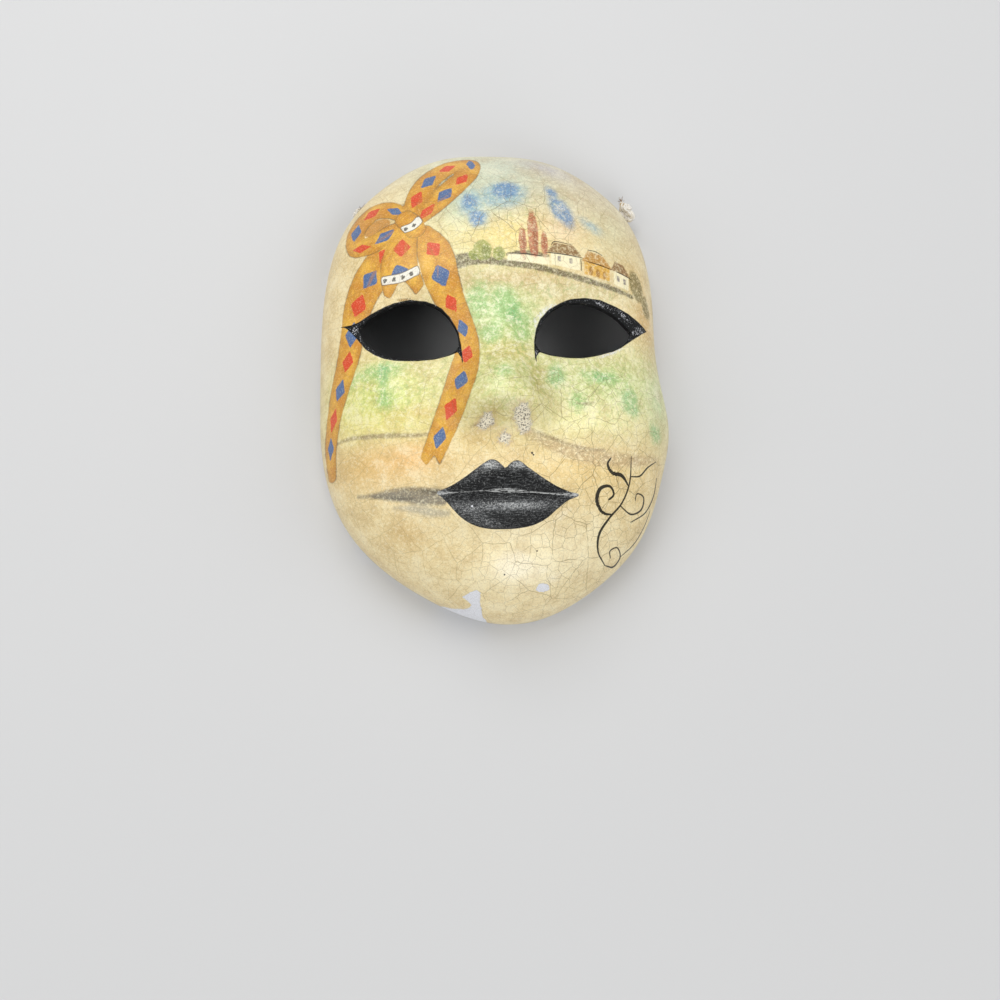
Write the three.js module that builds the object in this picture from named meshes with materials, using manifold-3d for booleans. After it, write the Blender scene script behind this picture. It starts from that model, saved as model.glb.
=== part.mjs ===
// A painted paper wall mask that lies face up on its rim, with its hanging cord tied through two temple holes.
// Millimetres, +Z up. +X is the viewer's right, +Y the forehead, and the origin is under the middle of the box.
import * as THREE from 'three';
import { mergeVertices } from 'three/addons/utils/BufferGeometryUtils.js';
import Module from 'manifold-3d';

const wasm = await Module();
wasm.setup();

// The outline, seen from above
const MIDDLE_X = -1.6;
const WIDEST_Y = -16;
const TOP_Y = 100;
const CHIN_Y = -100;
const HALF_WIDTH = 71.3;
const CHIN_LEAN = 5.7;
const POWER_TOP = { left: 2.78, right: 3.03 };
const POWER_CHIN = { left: 2.0, right: 2.04 };
const SHOULDER = 0.05;
const CHEEK_SWELL = { gain: 0.046, y: -22, reach: 18 };
const TEMPLE_DIP = { gain: 0.014, y: 14, reach: 18 };

// The dome over that outline
const DOME_HEIGHT = 45;
const DOME_POWER = 2.4;
const WALL = 3;

// Soft swellings of the face: place, reach across and along, turn in degrees, height. A paired one is on both
// sides, and a power over 2 gives a flatter top.
const FOREHEAD = { x: 0, y: 56, across: 46, along: 34, rise: 2.5 };
const EYE_SOCKETS = { x: 31, y: 12, across: 21, along: 17, turn: -8, rise: -5.5, paired: true };
const BROWS = { x: 28, y: 36, across: 26, along: 10, turn: -8, rise: 1.5, paired: true };
const NOSE_TIP = { x: -0.6, y: -13.5, across: 11, along: 11, rise: 6.5, power: 2.7 };
const NOSE_WINGS = { x: 11.5, y: -19, across: 7, along: 7, rise: 5.5, paired: true };
const CHEEKS = { x: 40, y: -16, across: 24, along: 22, rise: 3, paired: true };
const MOUTH_MOUND = { x: 0, y: -48, across: 36, along: 24, rise: 4.5 };
const UPPER_LIP = { x: 8, y: -44.5, across: 13, along: 5, turn: -18, rise: 1.8, paired: true };
const LOWER_LIP = { x: 0, y: -56.5, across: 16, along: 5.6, rise: 2.2 };
const LIP_CREASE = { x: 0.5, y: -50.6, across: 24, along: 1.8, rise: -1.4 };
const LIP_GROOVE = { x: -0.5, y: -34, across: 3.4, along: 6, rise: -0.8 };
const CHIN_GROOVE = { x: 0, y: -68, across: 24, along: 6, rise: -1.8 };
const CHIN = { x: 2, y: -82, across: 24, along: 13, rise: 2.5 };
const BROAD_FORMS = [FOREHEAD, EYE_SOCKETS, BROWS, NOSE_TIP, NOSE_WINGS, CHEEKS, MOUTH_MOUND, CHIN_GROOVE, CHIN];
const FINE_FORMS = [UPPER_LIP, LOWER_LIP, LIP_CREASE, LIP_GROOVE];
const NOSE_RIDGE = { rootY: 28, tipY: -18, baseY: -31, baseEndY: -12, rise: 9, rootWidth: 9.5, spread: 4.5 };

// The eye holes, seen from above: the points of each lid from corner to corner
const EYES = [
  {
    upper: [[-15.6, 6.5], [-16.2, 11.2], [-18.7, 16.5], [-22.3, 20.5], [-27, 23.1], [-33.1, 24.1], [-39.5, 23.4],
      [-46, 21.1], [-50.9, 18], [-53.8, 15.8]],
    lower: [[-53.8, 15.8], [-52.6, 11.8], [-50, 8.2], [-46.2, 5], [-41.6, 2.8], [-34.8, 1.3], [-27.8, 0.9],
      [-21.3, 1.8], [-17.1, 3.4], [-15.6, 6.5]],
  },
  {
    upper: [[12.9, 6.5], [14.1, 10.9], [16.5, 15.9], [20, 20.2], [24.8, 22.8], [31.1, 23.8], [37.8, 22.9],
      [44.6, 20.3], [49.7, 16.9], [52.6, 14.4]],
    lower: [[52.6, 14.4], [51.2, 11.3], [48.5, 8.5], [44.8, 6], [40, 4.2], [32.8, 2.1], [25.6, 1.6],
      [18.8, 2.1], [14.5, 3.5], [12.9, 6.5]],
  },
];
const LID_STEPS = 18;

// The hanging cord, its two holes and its knots
const CORD_DIAMETER = 2.5;
const CORD_STEPS = 44;
const CORD_SIDES = 8;
const HOLE_DIAMETER = 3.6;
const HOLE_DEPTH = 9;
const HOLE_SIDES = 14;
const HOLES = [
  { x: 55.9, y: 75, z: 6.5, turn: 41 },
  { x: -56.4, y: 74.7, z: 6.5, turn: 139.5 },
];
const CORD_ROUTE = [
  [55.6, 74.8, 6.5], [52.4, 72.0, 6.5], [49.4, 69.4, 5.5], [46.2, 66.7, 3.4], [42.2, 63.7, 1.7],
  [36.6, 60.2, 1.35], [29.6, 57.2, 1.35], [22.0, 56.0, 1.35], [14.8, 58.0, 1.35], [10.0, 63.4, 1.35],
  [8.8, 70.6, 1.35], [7.6, 77.8, 1.35], [2.6, 83.2, 1.35], [-4.6, 83.6, 1.35], [-9.8, 78.6, 1.35],
  [-11.2, 71.4, 1.35], [-12.4, 64.2, 1.35], [-17.2, 58.6, 1.35], [-24.4, 56.4, 1.35], [-31.8, 57.8, 1.35],
  [-38.4, 60.9, 1.35], [-43.2, 64.0, 1.7], [-47.0, 66.9, 3.4], [-50.2, 69.5, 5.5], [-53.1, 71.9, 6.5],
  [-56.1, 74.5, 6.5],
];

// Returns how far the middle line of the outline stands to the right of MIDDLE_X at this height.
function lean(y) {
  const share = Math.max(WIDEST_Y - y, 0) / (WIDEST_Y - CHIN_Y);
  return CHIN_LEAN * share * share;
}

// Returns the stretch of the right half, which swells at the cheek and draws in at the temple.
function stretch(side, y) {
  if (side < 0) return 1;
  const cheek = CHEEK_SWELL.gain * Math.exp(-(((y - CHEEK_SWELL.y) / CHEEK_SWELL.reach) ** 2));
  const temple = TEMPLE_DIP.gain * Math.exp(-(((y - TEMPLE_DIP.y) / TEMPLE_DIP.reach) ** 2));
  return 1 + cheek - temple;
}

// Returns 0 in the middle of the outline, 1 on it, for a place measured from its middle line.
function outlineShare(x, y) {
  const above = y >= WIDEST_Y;
  const powers = above ? POWER_TOP : POWER_CHIN;
  const power = x >= 0 ? powers.right : powers.left;
  const reach = above ? TOP_Y - WIDEST_Y : WIDEST_Y - CHIN_Y;
  const across = (Math.abs(x) / HALF_WIDTH) ** power;
  const along = (Math.abs(y - WIDEST_Y) / reach) ** power;
  if (across + along === 0) return 0;
  const q = across / (across + along);
  return (across + along) ** (1 / power) * (1 - SHOULDER * 4 * q * (1 - q) * (2 * q - 1));
}

// Returns the place that lies this share of the way from the middle to the outline, in this direction.
function placeInOutline(share, angle) {
  const dx = Math.cos(angle);
  const dy = Math.sin(angle);
  const radius = share / outlineShare(dx, WIDEST_Y + dy);
  const y = WIDEST_Y + radius * dy;
  return { x: MIDDLE_X + radius * dx * stretch(dx, y) + lean(y), y };
}

// Returns the share for any place in the frame's own millimetres.
function shareAt(x, y) {
  const offset = x - MIDDLE_X - lean(y);
  return outlineShare(offset / stretch(offset, y), y);
}

// Returns one swelling's height at a place.
function swelling(form, x, y) {
  const turn = THREE.MathUtils.degToRad(form.turn ?? 0);
  const dx = (form.paired ? Math.abs(x) : x) - form.x;
  const dy = y - form.y;
  const u = (dx * Math.cos(turn) + dy * Math.sin(turn)) / form.across;
  const v = (dy * Math.cos(turn) - dx * Math.sin(turn)) / form.along;
  return form.rise * Math.exp(-(Math.hypot(u, v) ** (form.power ?? 2)));
}

// Returns the height of the nose's ridge, which rises from the root between the eyes and ends over the lip.
function noseRidge(x, y) {
  const { rootY, tipY, baseY, baseEndY, rise, rootWidth, spread } = NOSE_RIDGE;
  const along = THREE.MathUtils.clamp((rootY - y) / (rootY - tipY), 0, 1);
  const base = THREE.MathUtils.smoothstep(y, baseY, baseEndY);
  const width = rootWidth + spread * along;
  return rise * along ** 1.2 * base * Math.exp(-((x / width) ** 2));
}

// Returns the full height of the face over the floor, before the dome's edge turns it down.
function faceHeight(x, y, forms) {
  return forms.reduce((sum, form) => sum + swelling(form, x, y), DOME_HEIGHT + noseRidge(x, y));
}

// Returns a value that is 0 on the face's surface and grows outwards.
function surfaceValue(x, y, z, forms) {
  return shareAt(x, y) ** DOME_POWER + (Math.max(z, 0) / faceHeight(x, y, forms)) ** DOME_POWER - 1;
}

// Returns the outward direction of the surface at a point.
function surfaceNormal(point, forms) {
  const step = 0.05;
  const { x, y } = point;
  const z = Math.max(point.z, step);
  return new THREE.Vector3(
    surfaceValue(x + step, y, z, forms) - surfaceValue(x - step, y, z, forms),
    surfaceValue(x, y + step, z, forms) - surfaceValue(x, y - step, z, forms),
    surfaceValue(x, y, z + step, forms) - surfaceValue(x, y, z - step, forms),
  ).normalize();
}

// Returns the surface point at this share and angle, moved inwards by a depth.
function surfacePoint(share, angle, depth, forms) {
  const { x, y } = placeInOutline(share, angle);
  const edge = Math.max(1 - share ** DOME_POWER, 0) ** (1 / DOME_POWER);
  const point = new THREE.Vector3(x, y, edge * faceHeight(x, y, forms));
  if (depth === 0) return point;
  const normal = surfaceNormal(point, forms);
  if (share === 1) normal.setZ(0).normalize();
  return point.addScaledVector(normal, -depth);
}

// Returns a closed dome from its rings of points. The outermost ring is dropped by the skirt and closed below.
function domeGeometry(rings, sectors, skirt, depth, forms) {
  const positions = [surfacePoint(0, 0, depth, forms)];
  for (let ring = 1; ring <= rings; ring += 1) {
    const share = ring === rings ? 1 : Math.sin((Math.PI / 2) * (ring / rings));
    for (let sector = 0; sector < sectors; sector += 1) {
      positions.push(surfacePoint(share, (2 * Math.PI * sector) / sectors, depth, forms));
    }
  }
  let ringCount = rings;
  if (skirt > 0) {
    const rim = positions.slice(-sectors);
    rim.forEach((point) => positions.push(point.clone().setZ(-skirt)));
    ringCount += 1;
  }
  positions.push(new THREE.Vector3(MIDDLE_X, WIDEST_Y, -skirt));

  const indices = [];
  const at = (ring, sector) => 1 + (ring - 1) * sectors + (sector % sectors);
  const below = positions.length - 1;
  for (let sector = 0; sector < sectors; sector += 1) {
    indices.push(0, at(1, sector), at(1, sector + 1));
    for (let ring = 1; ring < ringCount; ring += 1) {
      indices.push(at(ring, sector), at(ring + 1, sector), at(ring + 1, sector + 1));
      indices.push(at(ring, sector), at(ring + 1, sector + 1), at(ring, sector + 1));
    }
    indices.push(at(ringCount, sector), below, at(ringCount, sector + 1));
  }
  const geometry = new THREE.BufferGeometry().setFromPoints(positions);
  geometry.setIndex(indices);
  return geometry;
}

// Returns an upright block in the shape of one eye hole, taller than the face.
function eyeGeometry(eye) {
  const curve = (lid) => new THREE.SplineCurve(lid.map((point) => new THREE.Vector2(...point))).getPoints(LID_STEPS);
  const upper = curve(eye.upper);
  const lower = curve(eye.lower);
  const outline = [...upper, ...lower.slice(1, -1)];
  const geometry = new THREE.ExtrudeGeometry(new THREE.Shape(outline), { depth: 90, bevelEnabled: false });
  return geometry.translate(0, 0, -5);
}

// Returns a round bar through the wall at a cord hole.
function holeGeometry(hole) {
  const bar = new THREE.CylinderGeometry(HOLE_DIAMETER / 2, HOLE_DIAMETER / 2, HOLE_DEPTH, HOLE_SIDES);
  bar.rotateZ(-Math.PI / 2);
  bar.rotateZ(THREE.MathUtils.degToRad(hole.turn));
  return bar.translate(hole.x, hole.y, hole.z);
}

// Returns a manifold solid of a closed geometry.
function toSolid(geometry) {
  const bare = geometry.clone();
  bare.deleteAttribute('normal');
  bare.deleteAttribute('uv');
  const merged = mergeVertices(bare, 1e-4);
  return new wasm.Manifold(new wasm.Mesh({
    numProp: 3,
    vertProperties: new Float32Array(merged.attributes.position.array),
    triVerts: new Uint32Array(merged.index.array),
  }));
}

// Returns the geometry of a manifold solid.
function toGeometry(solid) {
  const mesh = solid.getMesh();
  const geometry = new THREE.BufferGeometry();
  geometry.setAttribute('position', new THREE.BufferAttribute(new Float32Array(mesh.vertProperties), 3));
  geometry.setIndex(new THREE.BufferAttribute(new Uint32Array(mesh.triVerts), 1));
  geometry.computeVertexNormals();
  return geometry;
}

function maskShell() {
  const allForms = [...BROAD_FORMS, ...FINE_FORMS];
  let shell = toSolid(domeGeometry(30, 76, 0, 0, allForms));
  shell = shell.subtract(toSolid(domeGeometry(16, 52, 1, WALL, BROAD_FORMS)));
  EYES.forEach((eye) => {
    shell = shell.subtract(toSolid(eyeGeometry(eye)));
  });
  HOLES.forEach((hole) => {
    shell = shell.subtract(toSolid(holeGeometry(hole)));
  });
  return toGeometry(shell);
}

function hangingCord() {
  const section = new THREE.Shape();
  for (let side = 0; side < CORD_SIDES; side += 1) {
    const angle = (2 * Math.PI * (side + 0.5)) / CORD_SIDES;
    const x = (CORD_DIAMETER / 2) * Math.cos(angle);
    const y = (CORD_DIAMETER / 2) * Math.sin(angle);
    if (side === 0) section.moveTo(x, y);
    else section.lineTo(x, y);
  }
  const route = new THREE.CatmullRomCurve3(CORD_ROUTE.map((point) => new THREE.Vector3(...point)));
  return new THREE.ExtrudeGeometry(section, { steps: CORD_STEPS, extrudePath: route, bevelEnabled: false });
}

// Returns one rounded lobe of a knot: along, across and up from the hole, with its half sizes and its turn.
function knotLobe(hole, [along, across, up], [halfLong, halfWide, halfHigh], turn) {
  const lobe = new THREE.SphereGeometry(1, 12, 8);
  lobe.scale(halfLong, halfWide, halfHigh);
  lobe.rotateZ(THREE.MathUtils.degToRad(turn));
  lobe.translate(along, across, up);
  lobe.rotateZ(THREE.MathUtils.degToRad(hole.turn));
  return toSolid(lobe.translate(hole.x, hole.y, hole.z));
}

// Returns the bulky knot: the body of the knot, two bights and the bound tip that stands away from it.
function rightKnot(hole) {
  const body = knotLobe(hole, [2.6, -0.3, 0], [2.5, 3.0, 3.0], 0);
  const nearBight = knotLobe(hole, [3.5, -3.6, 0.5], [2.0, 2.3, 2.0], 10);
  const farBight = knotLobe(hole, [4.7, 0.4, 0.9], [2.4, 2.9, 2.2], 0);
  const tip = knotLobe(hole, [4.9, 3.9, 0.9], [1.1, 2.3, 1.1], -35);
  return toGeometry(body.add(nearBight).add(farBight).add(tip));
}

// Returns the small knot pulled tight against its hole.
function leftKnot(hole) {
  const body = knotLobe(hole, [1.6, 0, -0.4], [1.5, 2.6, 2.5], 0);
  const end = knotLobe(hole, [1.9, -2.6, -1.2], [1.2, 1.9, 1.3], 20);
  return toGeometry(body.add(end));
}

function part(name, geometry, color, roughness) {
  const mesh = new THREE.Mesh(geometry, new THREE.MeshStandardMaterial({ color, roughness, metalness: 0 }));
  mesh.name = name;
  return mesh;
}

const CREAM_PAINT = 0xe3cfa0;
const WHITE_CORD = 0xe8e2d6;

const mask = new THREE.Group();
mask.add(part('mask_shell', maskShell(), CREAM_PAINT, 0.45));
mask.add(part('hanging_cord', hangingCord(), WHITE_CORD, 0.85));
mask.add(part('cord_knot_right', rightKnot(HOLES[0]), WHITE_CORD, 0.85));
mask.add(part('cord_knot_left', leftKnot(HOLES[1]), WHITE_CORD, 0.85));

export default mask;
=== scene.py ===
"""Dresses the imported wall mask: its painted and crackled shell, the twisted cord and the two knots.

The shell is worked in millimetres, with the formulas and sizes of the part's source, and turned to metres
at the end.
"""
import logging
import math
from collections.abc import Iterable, Sequence
from dataclasses import dataclass, field
from enum import Enum
from functools import reduce
from typing import Protocol

import bpy
import numpy as np
from mathutils import Matrix


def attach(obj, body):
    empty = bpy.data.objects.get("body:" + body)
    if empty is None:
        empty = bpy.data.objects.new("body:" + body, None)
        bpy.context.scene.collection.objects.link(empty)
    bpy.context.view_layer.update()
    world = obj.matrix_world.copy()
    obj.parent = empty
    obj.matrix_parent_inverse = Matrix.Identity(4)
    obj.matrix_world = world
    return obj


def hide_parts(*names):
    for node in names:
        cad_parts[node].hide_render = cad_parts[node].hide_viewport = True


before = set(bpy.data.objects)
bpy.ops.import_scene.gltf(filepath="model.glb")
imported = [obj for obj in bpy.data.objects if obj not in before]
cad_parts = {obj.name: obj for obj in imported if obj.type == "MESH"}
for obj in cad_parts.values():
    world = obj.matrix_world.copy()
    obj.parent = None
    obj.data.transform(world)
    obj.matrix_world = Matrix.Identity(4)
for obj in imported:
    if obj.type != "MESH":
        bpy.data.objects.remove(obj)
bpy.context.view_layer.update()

LOG = logging.getLogger("wall_mask")
MM = 0.001
STRAND_MAP = "round_and_along"

Pair = tuple[float, float]
Triple = tuple[float, float, float]
Colour = tuple[float, float, float, float]
Array = np.ndarray
Piece = bpy.types.Object
Socket = bpy.types.NodeSocket
SHORTEST = 1e-9
SMALLEST_AREA = 1e-12


def tone(code: str) -> Colour:
    """Turns a hexadecimal paint code into linear light.

    Args:
        code: Six hexadecimal digits, red, green and blue.

    Returns:
        The colour with full opacity.
    """
    shares = [int(code[i : i + 2], 16) / 255 for i in (0, 2, 4)]
    linear = [s / 12.92 if s <= 0.04045 else ((s + 0.055) / 1.055) ** 2.4 for s in shares]
    return (linear[0], linear[1], linear[2], 1.0)


def smooth_path(
    points: Sequence[Sequence[float]], steps: int, centripetal: bool = False, mirrored_ends: bool = True
) -> Array:
    """Draws a smooth curve through points.

    Args:
        points: The points that the curve goes through.
        steps: How many stretches lie between the first and the last point.
        centripetal: Whether the stretches are weighed by the root of their length.
        mirrored_ends: Whether the points before the first and after the last are mirrored, and not repeated.

    Returns:
        The steps + 1 points of the curve.
    """
    knots = np.array(points, float)
    before = 2 * knots[0] - knots[1] if mirrored_ends else knots[0]
    after = 2 * knots[-1] - knots[-2] if mirrored_ends else knots[-1]
    padded = np.vstack([before, knots, after])
    places = np.linspace(0, len(knots) - 1, steps + 1)
    index = np.minimum(places.astype(int), len(knots) - 2)
    t = (places - index)[:, None]
    p0, p1, p2, p3 = (padded[index + k] for k in range(4))
    if centripetal:
        pairs = ((p0, p1), (p1, p2), (p2, p3))
        d0, d1, d2 = (np.sqrt(np.linalg.norm(b - a, axis=1))[:, None] for a, b in pairs)
        start = ((p1 - p0) / d0 - (p2 - p0) / (d0 + d1) + (p2 - p1) / d1) * d1
        end = ((p2 - p1) / d1 - (p3 - p1) / (d1 + d2) + (p3 - p2) / d2) * d1
    else:
        start = (p2 - p0) / 2
        end = (p3 - p1) / 2
    return p1 + start * t + (3 * (p2 - p1) - 2 * start - end) * t**2 + (2 * (p1 - p2) + start + end) * t**3


def length_along(path: Array) -> Array:
    """Measures how far each point of a path lies from its first one, along it."""
    return np.concatenate([[0], np.cumsum(np.linalg.norm(np.diff(path, axis=0), axis=1))])


def oval_share(x: Array, y: Array, across: float, along: float, turn: float) -> Array:
    """Tells where places are in an oval: 0 in its middle, 1 on its edge and more outside it."""
    cosine, sine = math.cos(math.radians(turn)), math.sin(math.radians(turn))
    return np.hypot((x * cosine + y * sine) / across, (y * cosine - x * sine) / along)


def polygon_distance(x: Array, y: Array, corners: Array) -> Array:
    """Measures how far places lie from a closed outline.

    Args:
        x: Places across.
        y: Places along.
        corners: The outline's corners, in order.

    Returns:
        The distance to the outline, negative inside it.
    """
    nearest = np.full(x.shape, np.inf)
    inside = np.zeros(x.shape, bool)
    for (ax, ay), (bx, by) in zip(corners, np.roll(corners, -1, axis=0)):
        ex, ey = bx - ax, by - ay
        share = np.clip(((x - ax) * ex + (y - ay) * ey) / max(ex * ex + ey * ey, SMALLEST_AREA), 0, 1)
        nearest = np.minimum(nearest, np.hypot(x - ax - share * ex, y - ay - share * ey))
        if ay != by:
            crosses = (ay > y) != (by > y)
            inside ^= crosses & (x < ax + (y - ay) * ex / ey)
    return np.where(inside, -nearest, nearest)


def line_sides(x: Array, y: Array, line: Array, widths: Array) -> tuple[Array, Array]:
    """Measures places against an open line that changes its width.

    Args:
        x: Places across.
        y: Places along.
        line: The line's points.
        widths: The line's half width at each point.

    Returns:
        The distance to the line with the sign of its side, and the half width at the nearest point less
        how far the place lies beyond an end.
    """
    nearest = np.full(x.shape, np.inf)
    side = np.zeros(x.shape)
    width = np.zeros(x.shape)
    last = len(line) - 2
    for i, ((ax, ay), (bx, by)) in enumerate(zip(line[:-1], line[1:])):
        ex, ey = bx - ax, by - ay
        long = math.hypot(ex, ey)
        if long == 0:
            continue
        along = ((x - ax) * ex + (y - ay) * ey) / long**2
        share = np.clip(along, 0, 1)
        gap = np.hypot(x - ax - share * ex, y - ay - share * ey)
        closer = gap < nearest
        before = np.maximum(-along, 0) if i == 0 else 0
        behind = np.maximum(along - 1, 0) if i == last else 0
        across = ((x - ax) * ey - (y - ay) * ex) / long
        nearest = np.where(closer, gap, nearest)
        side = np.where(closer, np.where(across < 0, -gap, gap), side)
        here = widths[i] + share * (widths[i + 1] - widths[i])
        width = np.where(closer, here - (before + behind) * long, width)
    return side, width


def stroke_distance(x: Array, y: Array, line: Array) -> Array:
    """Measures how far places lie from the edge of a line whose third number is its half width."""
    side, width = line_sides(x, y, line[:, :2], line[:, 2])
    return np.abs(side) - width


# Shader arithmetic


@dataclass(frozen=True, eq=False)
class Value:
    """A number that comes out of a shader socket and takes part in arithmetic."""

    sheet: "NodeSheet"
    socket: Socket

    def __add__(self, other: "Term") -> "Value":
        """Adds."""
        return self.sheet.maths("ADD", self, other)

    def __sub__(self, other: "Term") -> "Value":
        """Takes away."""
        return self.sheet.maths("SUBTRACT", self, other)

    def __rsub__(self, other: "Term") -> "Value":
        """Takes this value away from a number."""
        return self.sheet.maths("SUBTRACT", other, self)

    def __mul__(self, other: "Term") -> "Value":
        """Multiplies."""
        return self.sheet.maths("MULTIPLY", self, other)

    def __truediv__(self, other: "Term") -> "Value":
        """Divides."""
        return self.sheet.maths("DIVIDE", self, other)

    def __abs__(self) -> "Value":
        """Drops the sign."""
        return self.sheet.maths("ABSOLUTE", self)

    __radd__ = __add__

    def least(self, other: "Term") -> "Value":
        """Takes the smaller of two."""
        return self.sheet.maths("MINIMUM", self, other)

    def most(self, other: "Term") -> "Value":
        """Takes the larger of two."""
        return self.sheet.maths("MAXIMUM", self, other)

    def step(self, low: float, high: float) -> "Value":
        """Rises smoothly from 0 at low to 1 at high, or falls if low is above high.

        Args:
            low: Where the step is 0.
            high: Where the step is 1.

        Returns:
            The step's value, from 0 to 1.
        """
        falls = low > high
        settings = {"interpolation_type": "SMOOTHSTEP"}
        limits = {"From Min": min(low, high), "From Max": max(low, high)}
        ends = {"To Min": 1.0 if falls else 0.0, "To Max": 0.0 if falls else 1.0}
        made = self.sheet.node("ShaderNodeMapRange", settings, {"Value": self, **limits, **ends})
        return Value(self.sheet, made.outputs["Result"])


Term = Value | float | int
Input = Value | Socket | float | Sequence[float]
Paint = Input | str


class NodeSheet:
    """The nodes of one finish."""

    def __init__(self, name: str) -> None:
        """Starts a material with an empty sheet.

        Args:
            name: The material's name.
        """
        self.material = bpy.data.materials.new(name)
        self.material.use_nodes = True
        self.nodes = self.material.node_tree.nodes
        self.links = self.material.node_tree.links
        self.nodes.clear()
        place = self.node("ShaderNodeTexCoord", {}, {}).outputs["Object"]
        self.place = self.vector("SCALE", place, scale=1 / MM)

    def node(self, kind: str, settings: dict[str, object], inputs: dict[str | int, Input]) -> bpy.types.Node:
        """Adds one node.

        Args:
            kind: Blender's name of the node's type.
            settings: The node's own settings, which are set first.
            inputs: Numbers, colours or links for its sockets, by name or number.

        Returns:
            The node.
        """
        made = self.nodes.new(kind)
        for key, value in settings.items():
            setattr(made, key, value)
        for key, value in inputs.items():
            socket = made.inputs[key]
            if isinstance(value, Value):
                self.links.new(value.socket, socket)
            elif isinstance(value, Socket):
                self.links.new(value, socket)
            else:
                socket.default_value = value
        return made

    def maths(self, operation: str, *terms: Term) -> Value:
        """Adds a Math node."""
        made = self.node("ShaderNodeMath", {"operation": operation}, dict(enumerate(terms)))
        return Value(self, made.outputs[0])

    def vector(self, operation: str, *terms: Input, scale: float | None = None) -> Socket:
        """Adds a Vector Math node.

        Args:
            operation: Its operation.
            terms: The vectors that it takes.
            scale: The number that a scaling takes.

        Returns:
            The vector that comes out.
        """
        inputs: dict[str | int, Input] = dict(enumerate(terms))
        if scale is not None:
            inputs["Scale"] = scale
        return self.node("ShaderNodeVectorMath", {"operation": operation}, inputs).outputs["Vector"]

    def mix(self, factor: Term, first: Paint, second: Paint) -> Socket:
        """Mixes two colours, each of them a link or a paint code.

        Args:
            factor: How much of the second colour shows.
            first: The colour below.
            second: The colour above.

        Returns:
            The mixed colour.
        """
        below, above = (tone(paint) if isinstance(paint, str) else paint for paint in (first, second))
        settings = {"data_type": "RGBA", "blend_type": "MIX", "clamp_factor": True}
        return self.node("ShaderNodeMix", settings, {0: factor, 6: below, 7: above}).outputs[2]

    def noise(
        self,
        size: float,
        detail: float = 2.0,
        roughness: float = 0.5,
        stretch: Triple = (1, 1, 1),
        shift: float = 0.0,
    ) -> Value:
        """Adds smooth noise on the object's own place.

        Args:
            size: How wide its blotches are, in millimetres.
            detail: How many finer layers it has.
            roughness: How strong the finer layers are.
            stretch: How much it is drawn out along each axis.
            shift: A move that makes it differ from noise of the same size.

        Returns:
            The noise, mostly from 0.3 to 0.7.
        """
        scaled = self.vector("MULTIPLY_ADD", self.place, tuple(1 / s for s in stretch), (shift,) * 3)
        inputs = {"Vector": scaled, "Scale": 1 / size, "Detail": detail, "Roughness": roughness}
        return Value(self, self.node("ShaderNodeTexNoise", {}, inputs).outputs[0])

    def cracks(self, place: Input, size: float, wander: float, spread: float, shift: float = 0.0) -> Value:
        """Adds a net of cracks.

        Args:
            place: The places over the flattened surface, in millimetres.
            size: How wide its meshes are, in millimetres.
            wander: How far the lines wander from straight, in millimetres.
            spread: How wide the wandering's waves are, in millimetres.
            shift: A move that makes it differ from another net.

        Returns:
            The distance to the nearest crack, in millimetres.
        """
        waves = self.node("ShaderNodeTexNoise", {}, {"Vector": place, "Scale": 1 / spread, "Detail": 2.0})
        centred = self.vector("SUBTRACT", waves.outputs["Color"], (0.5, 0.5, 0.5))
        pushed = self.vector("SCALE", centred, scale=2 * wander)
        moved = self.vector("ADD", self.vector("ADD", place, pushed), (shift, shift, shift))
        settings = {"feature": "DISTANCE_TO_EDGE", "voronoi_dimensions": "2D"}
        inputs = {"Vector": moved, "Scale": 1 / size, "Randomness": 1.0}
        return Value(self, self.node("ShaderNodeTexVoronoi", settings, inputs).outputs["Distance"]) * size

    def attribute(self, name: str) -> bpy.types.Node:
        """Reads an attribute of the piece."""
        return self.node("ShaderNodeAttribute", {"attribute_name": name}, {})

    def reading(self, name: str) -> Value:
        """Reads a number that the piece holds at each point."""
        return Value(self, self.attribute(name).outputs["Fac"])

    def bump(self, height: Term, depth: float, below: Socket | None = None) -> Socket:
        """Turns a height into a bend of the surface's normal.

        Args:
            height: The height, from 0 to 1.
            depth: How far 1 stands above 0, in millimetres.
            below: The normal of a coarser bump that this one adds to.

        Returns:
            The bent normal.
        """
        inputs: dict[str | int, Input] = {"Height": height, "Distance": depth * MM, "Strength": 1.0}
        if below is not None:
            inputs["Normal"] = below
        return self.node("ShaderNodeBump", {}, inputs).outputs["Normal"]

    def surface(self, **sockets: Input) -> bpy.types.Material:
        """Ends the sheet with its shader.

        Args:
            sockets: The shader's sockets, with an underscore for each space.

        Returns:
            The finished material.
        """
        named = {key.replace("_", " "): value for key, value in sockets.items()}
        shader = self.node("ShaderNodeBsdfPrincipled", {}, named)
        self.node("ShaderNodeOutputMaterial", {}, {"Surface": shader.outputs[0]})
        return self.material


# The form of the face, as in the part's source


@dataclass(frozen=True)
class Swelling:
    """A soft rise or hollow of the face, in millimetres and degrees."""

    x: float
    y: float
    across: float
    along: float
    rise: float
    turn: float = 0.0
    power: float = 2.0
    paired: bool = False

    def height(self, x: Array, y: Array) -> Array:
        """Measures the swelling.

        Args:
            x: Places across.
            y: Places along.

        Returns:
            Its height there.
        """
        side = np.abs(x) if self.paired else x
        share = oval_share(side - self.x, y - self.y, self.across, self.along, self.turn)
        return self.rise * np.exp(-(share**self.power))


def total_height(forms: Iterable[Swelling], x: Array, y: Array) -> Array:
    """Adds up the heights of some swellings."""
    return sum(form.height(x, y) for form in forms)


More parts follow.
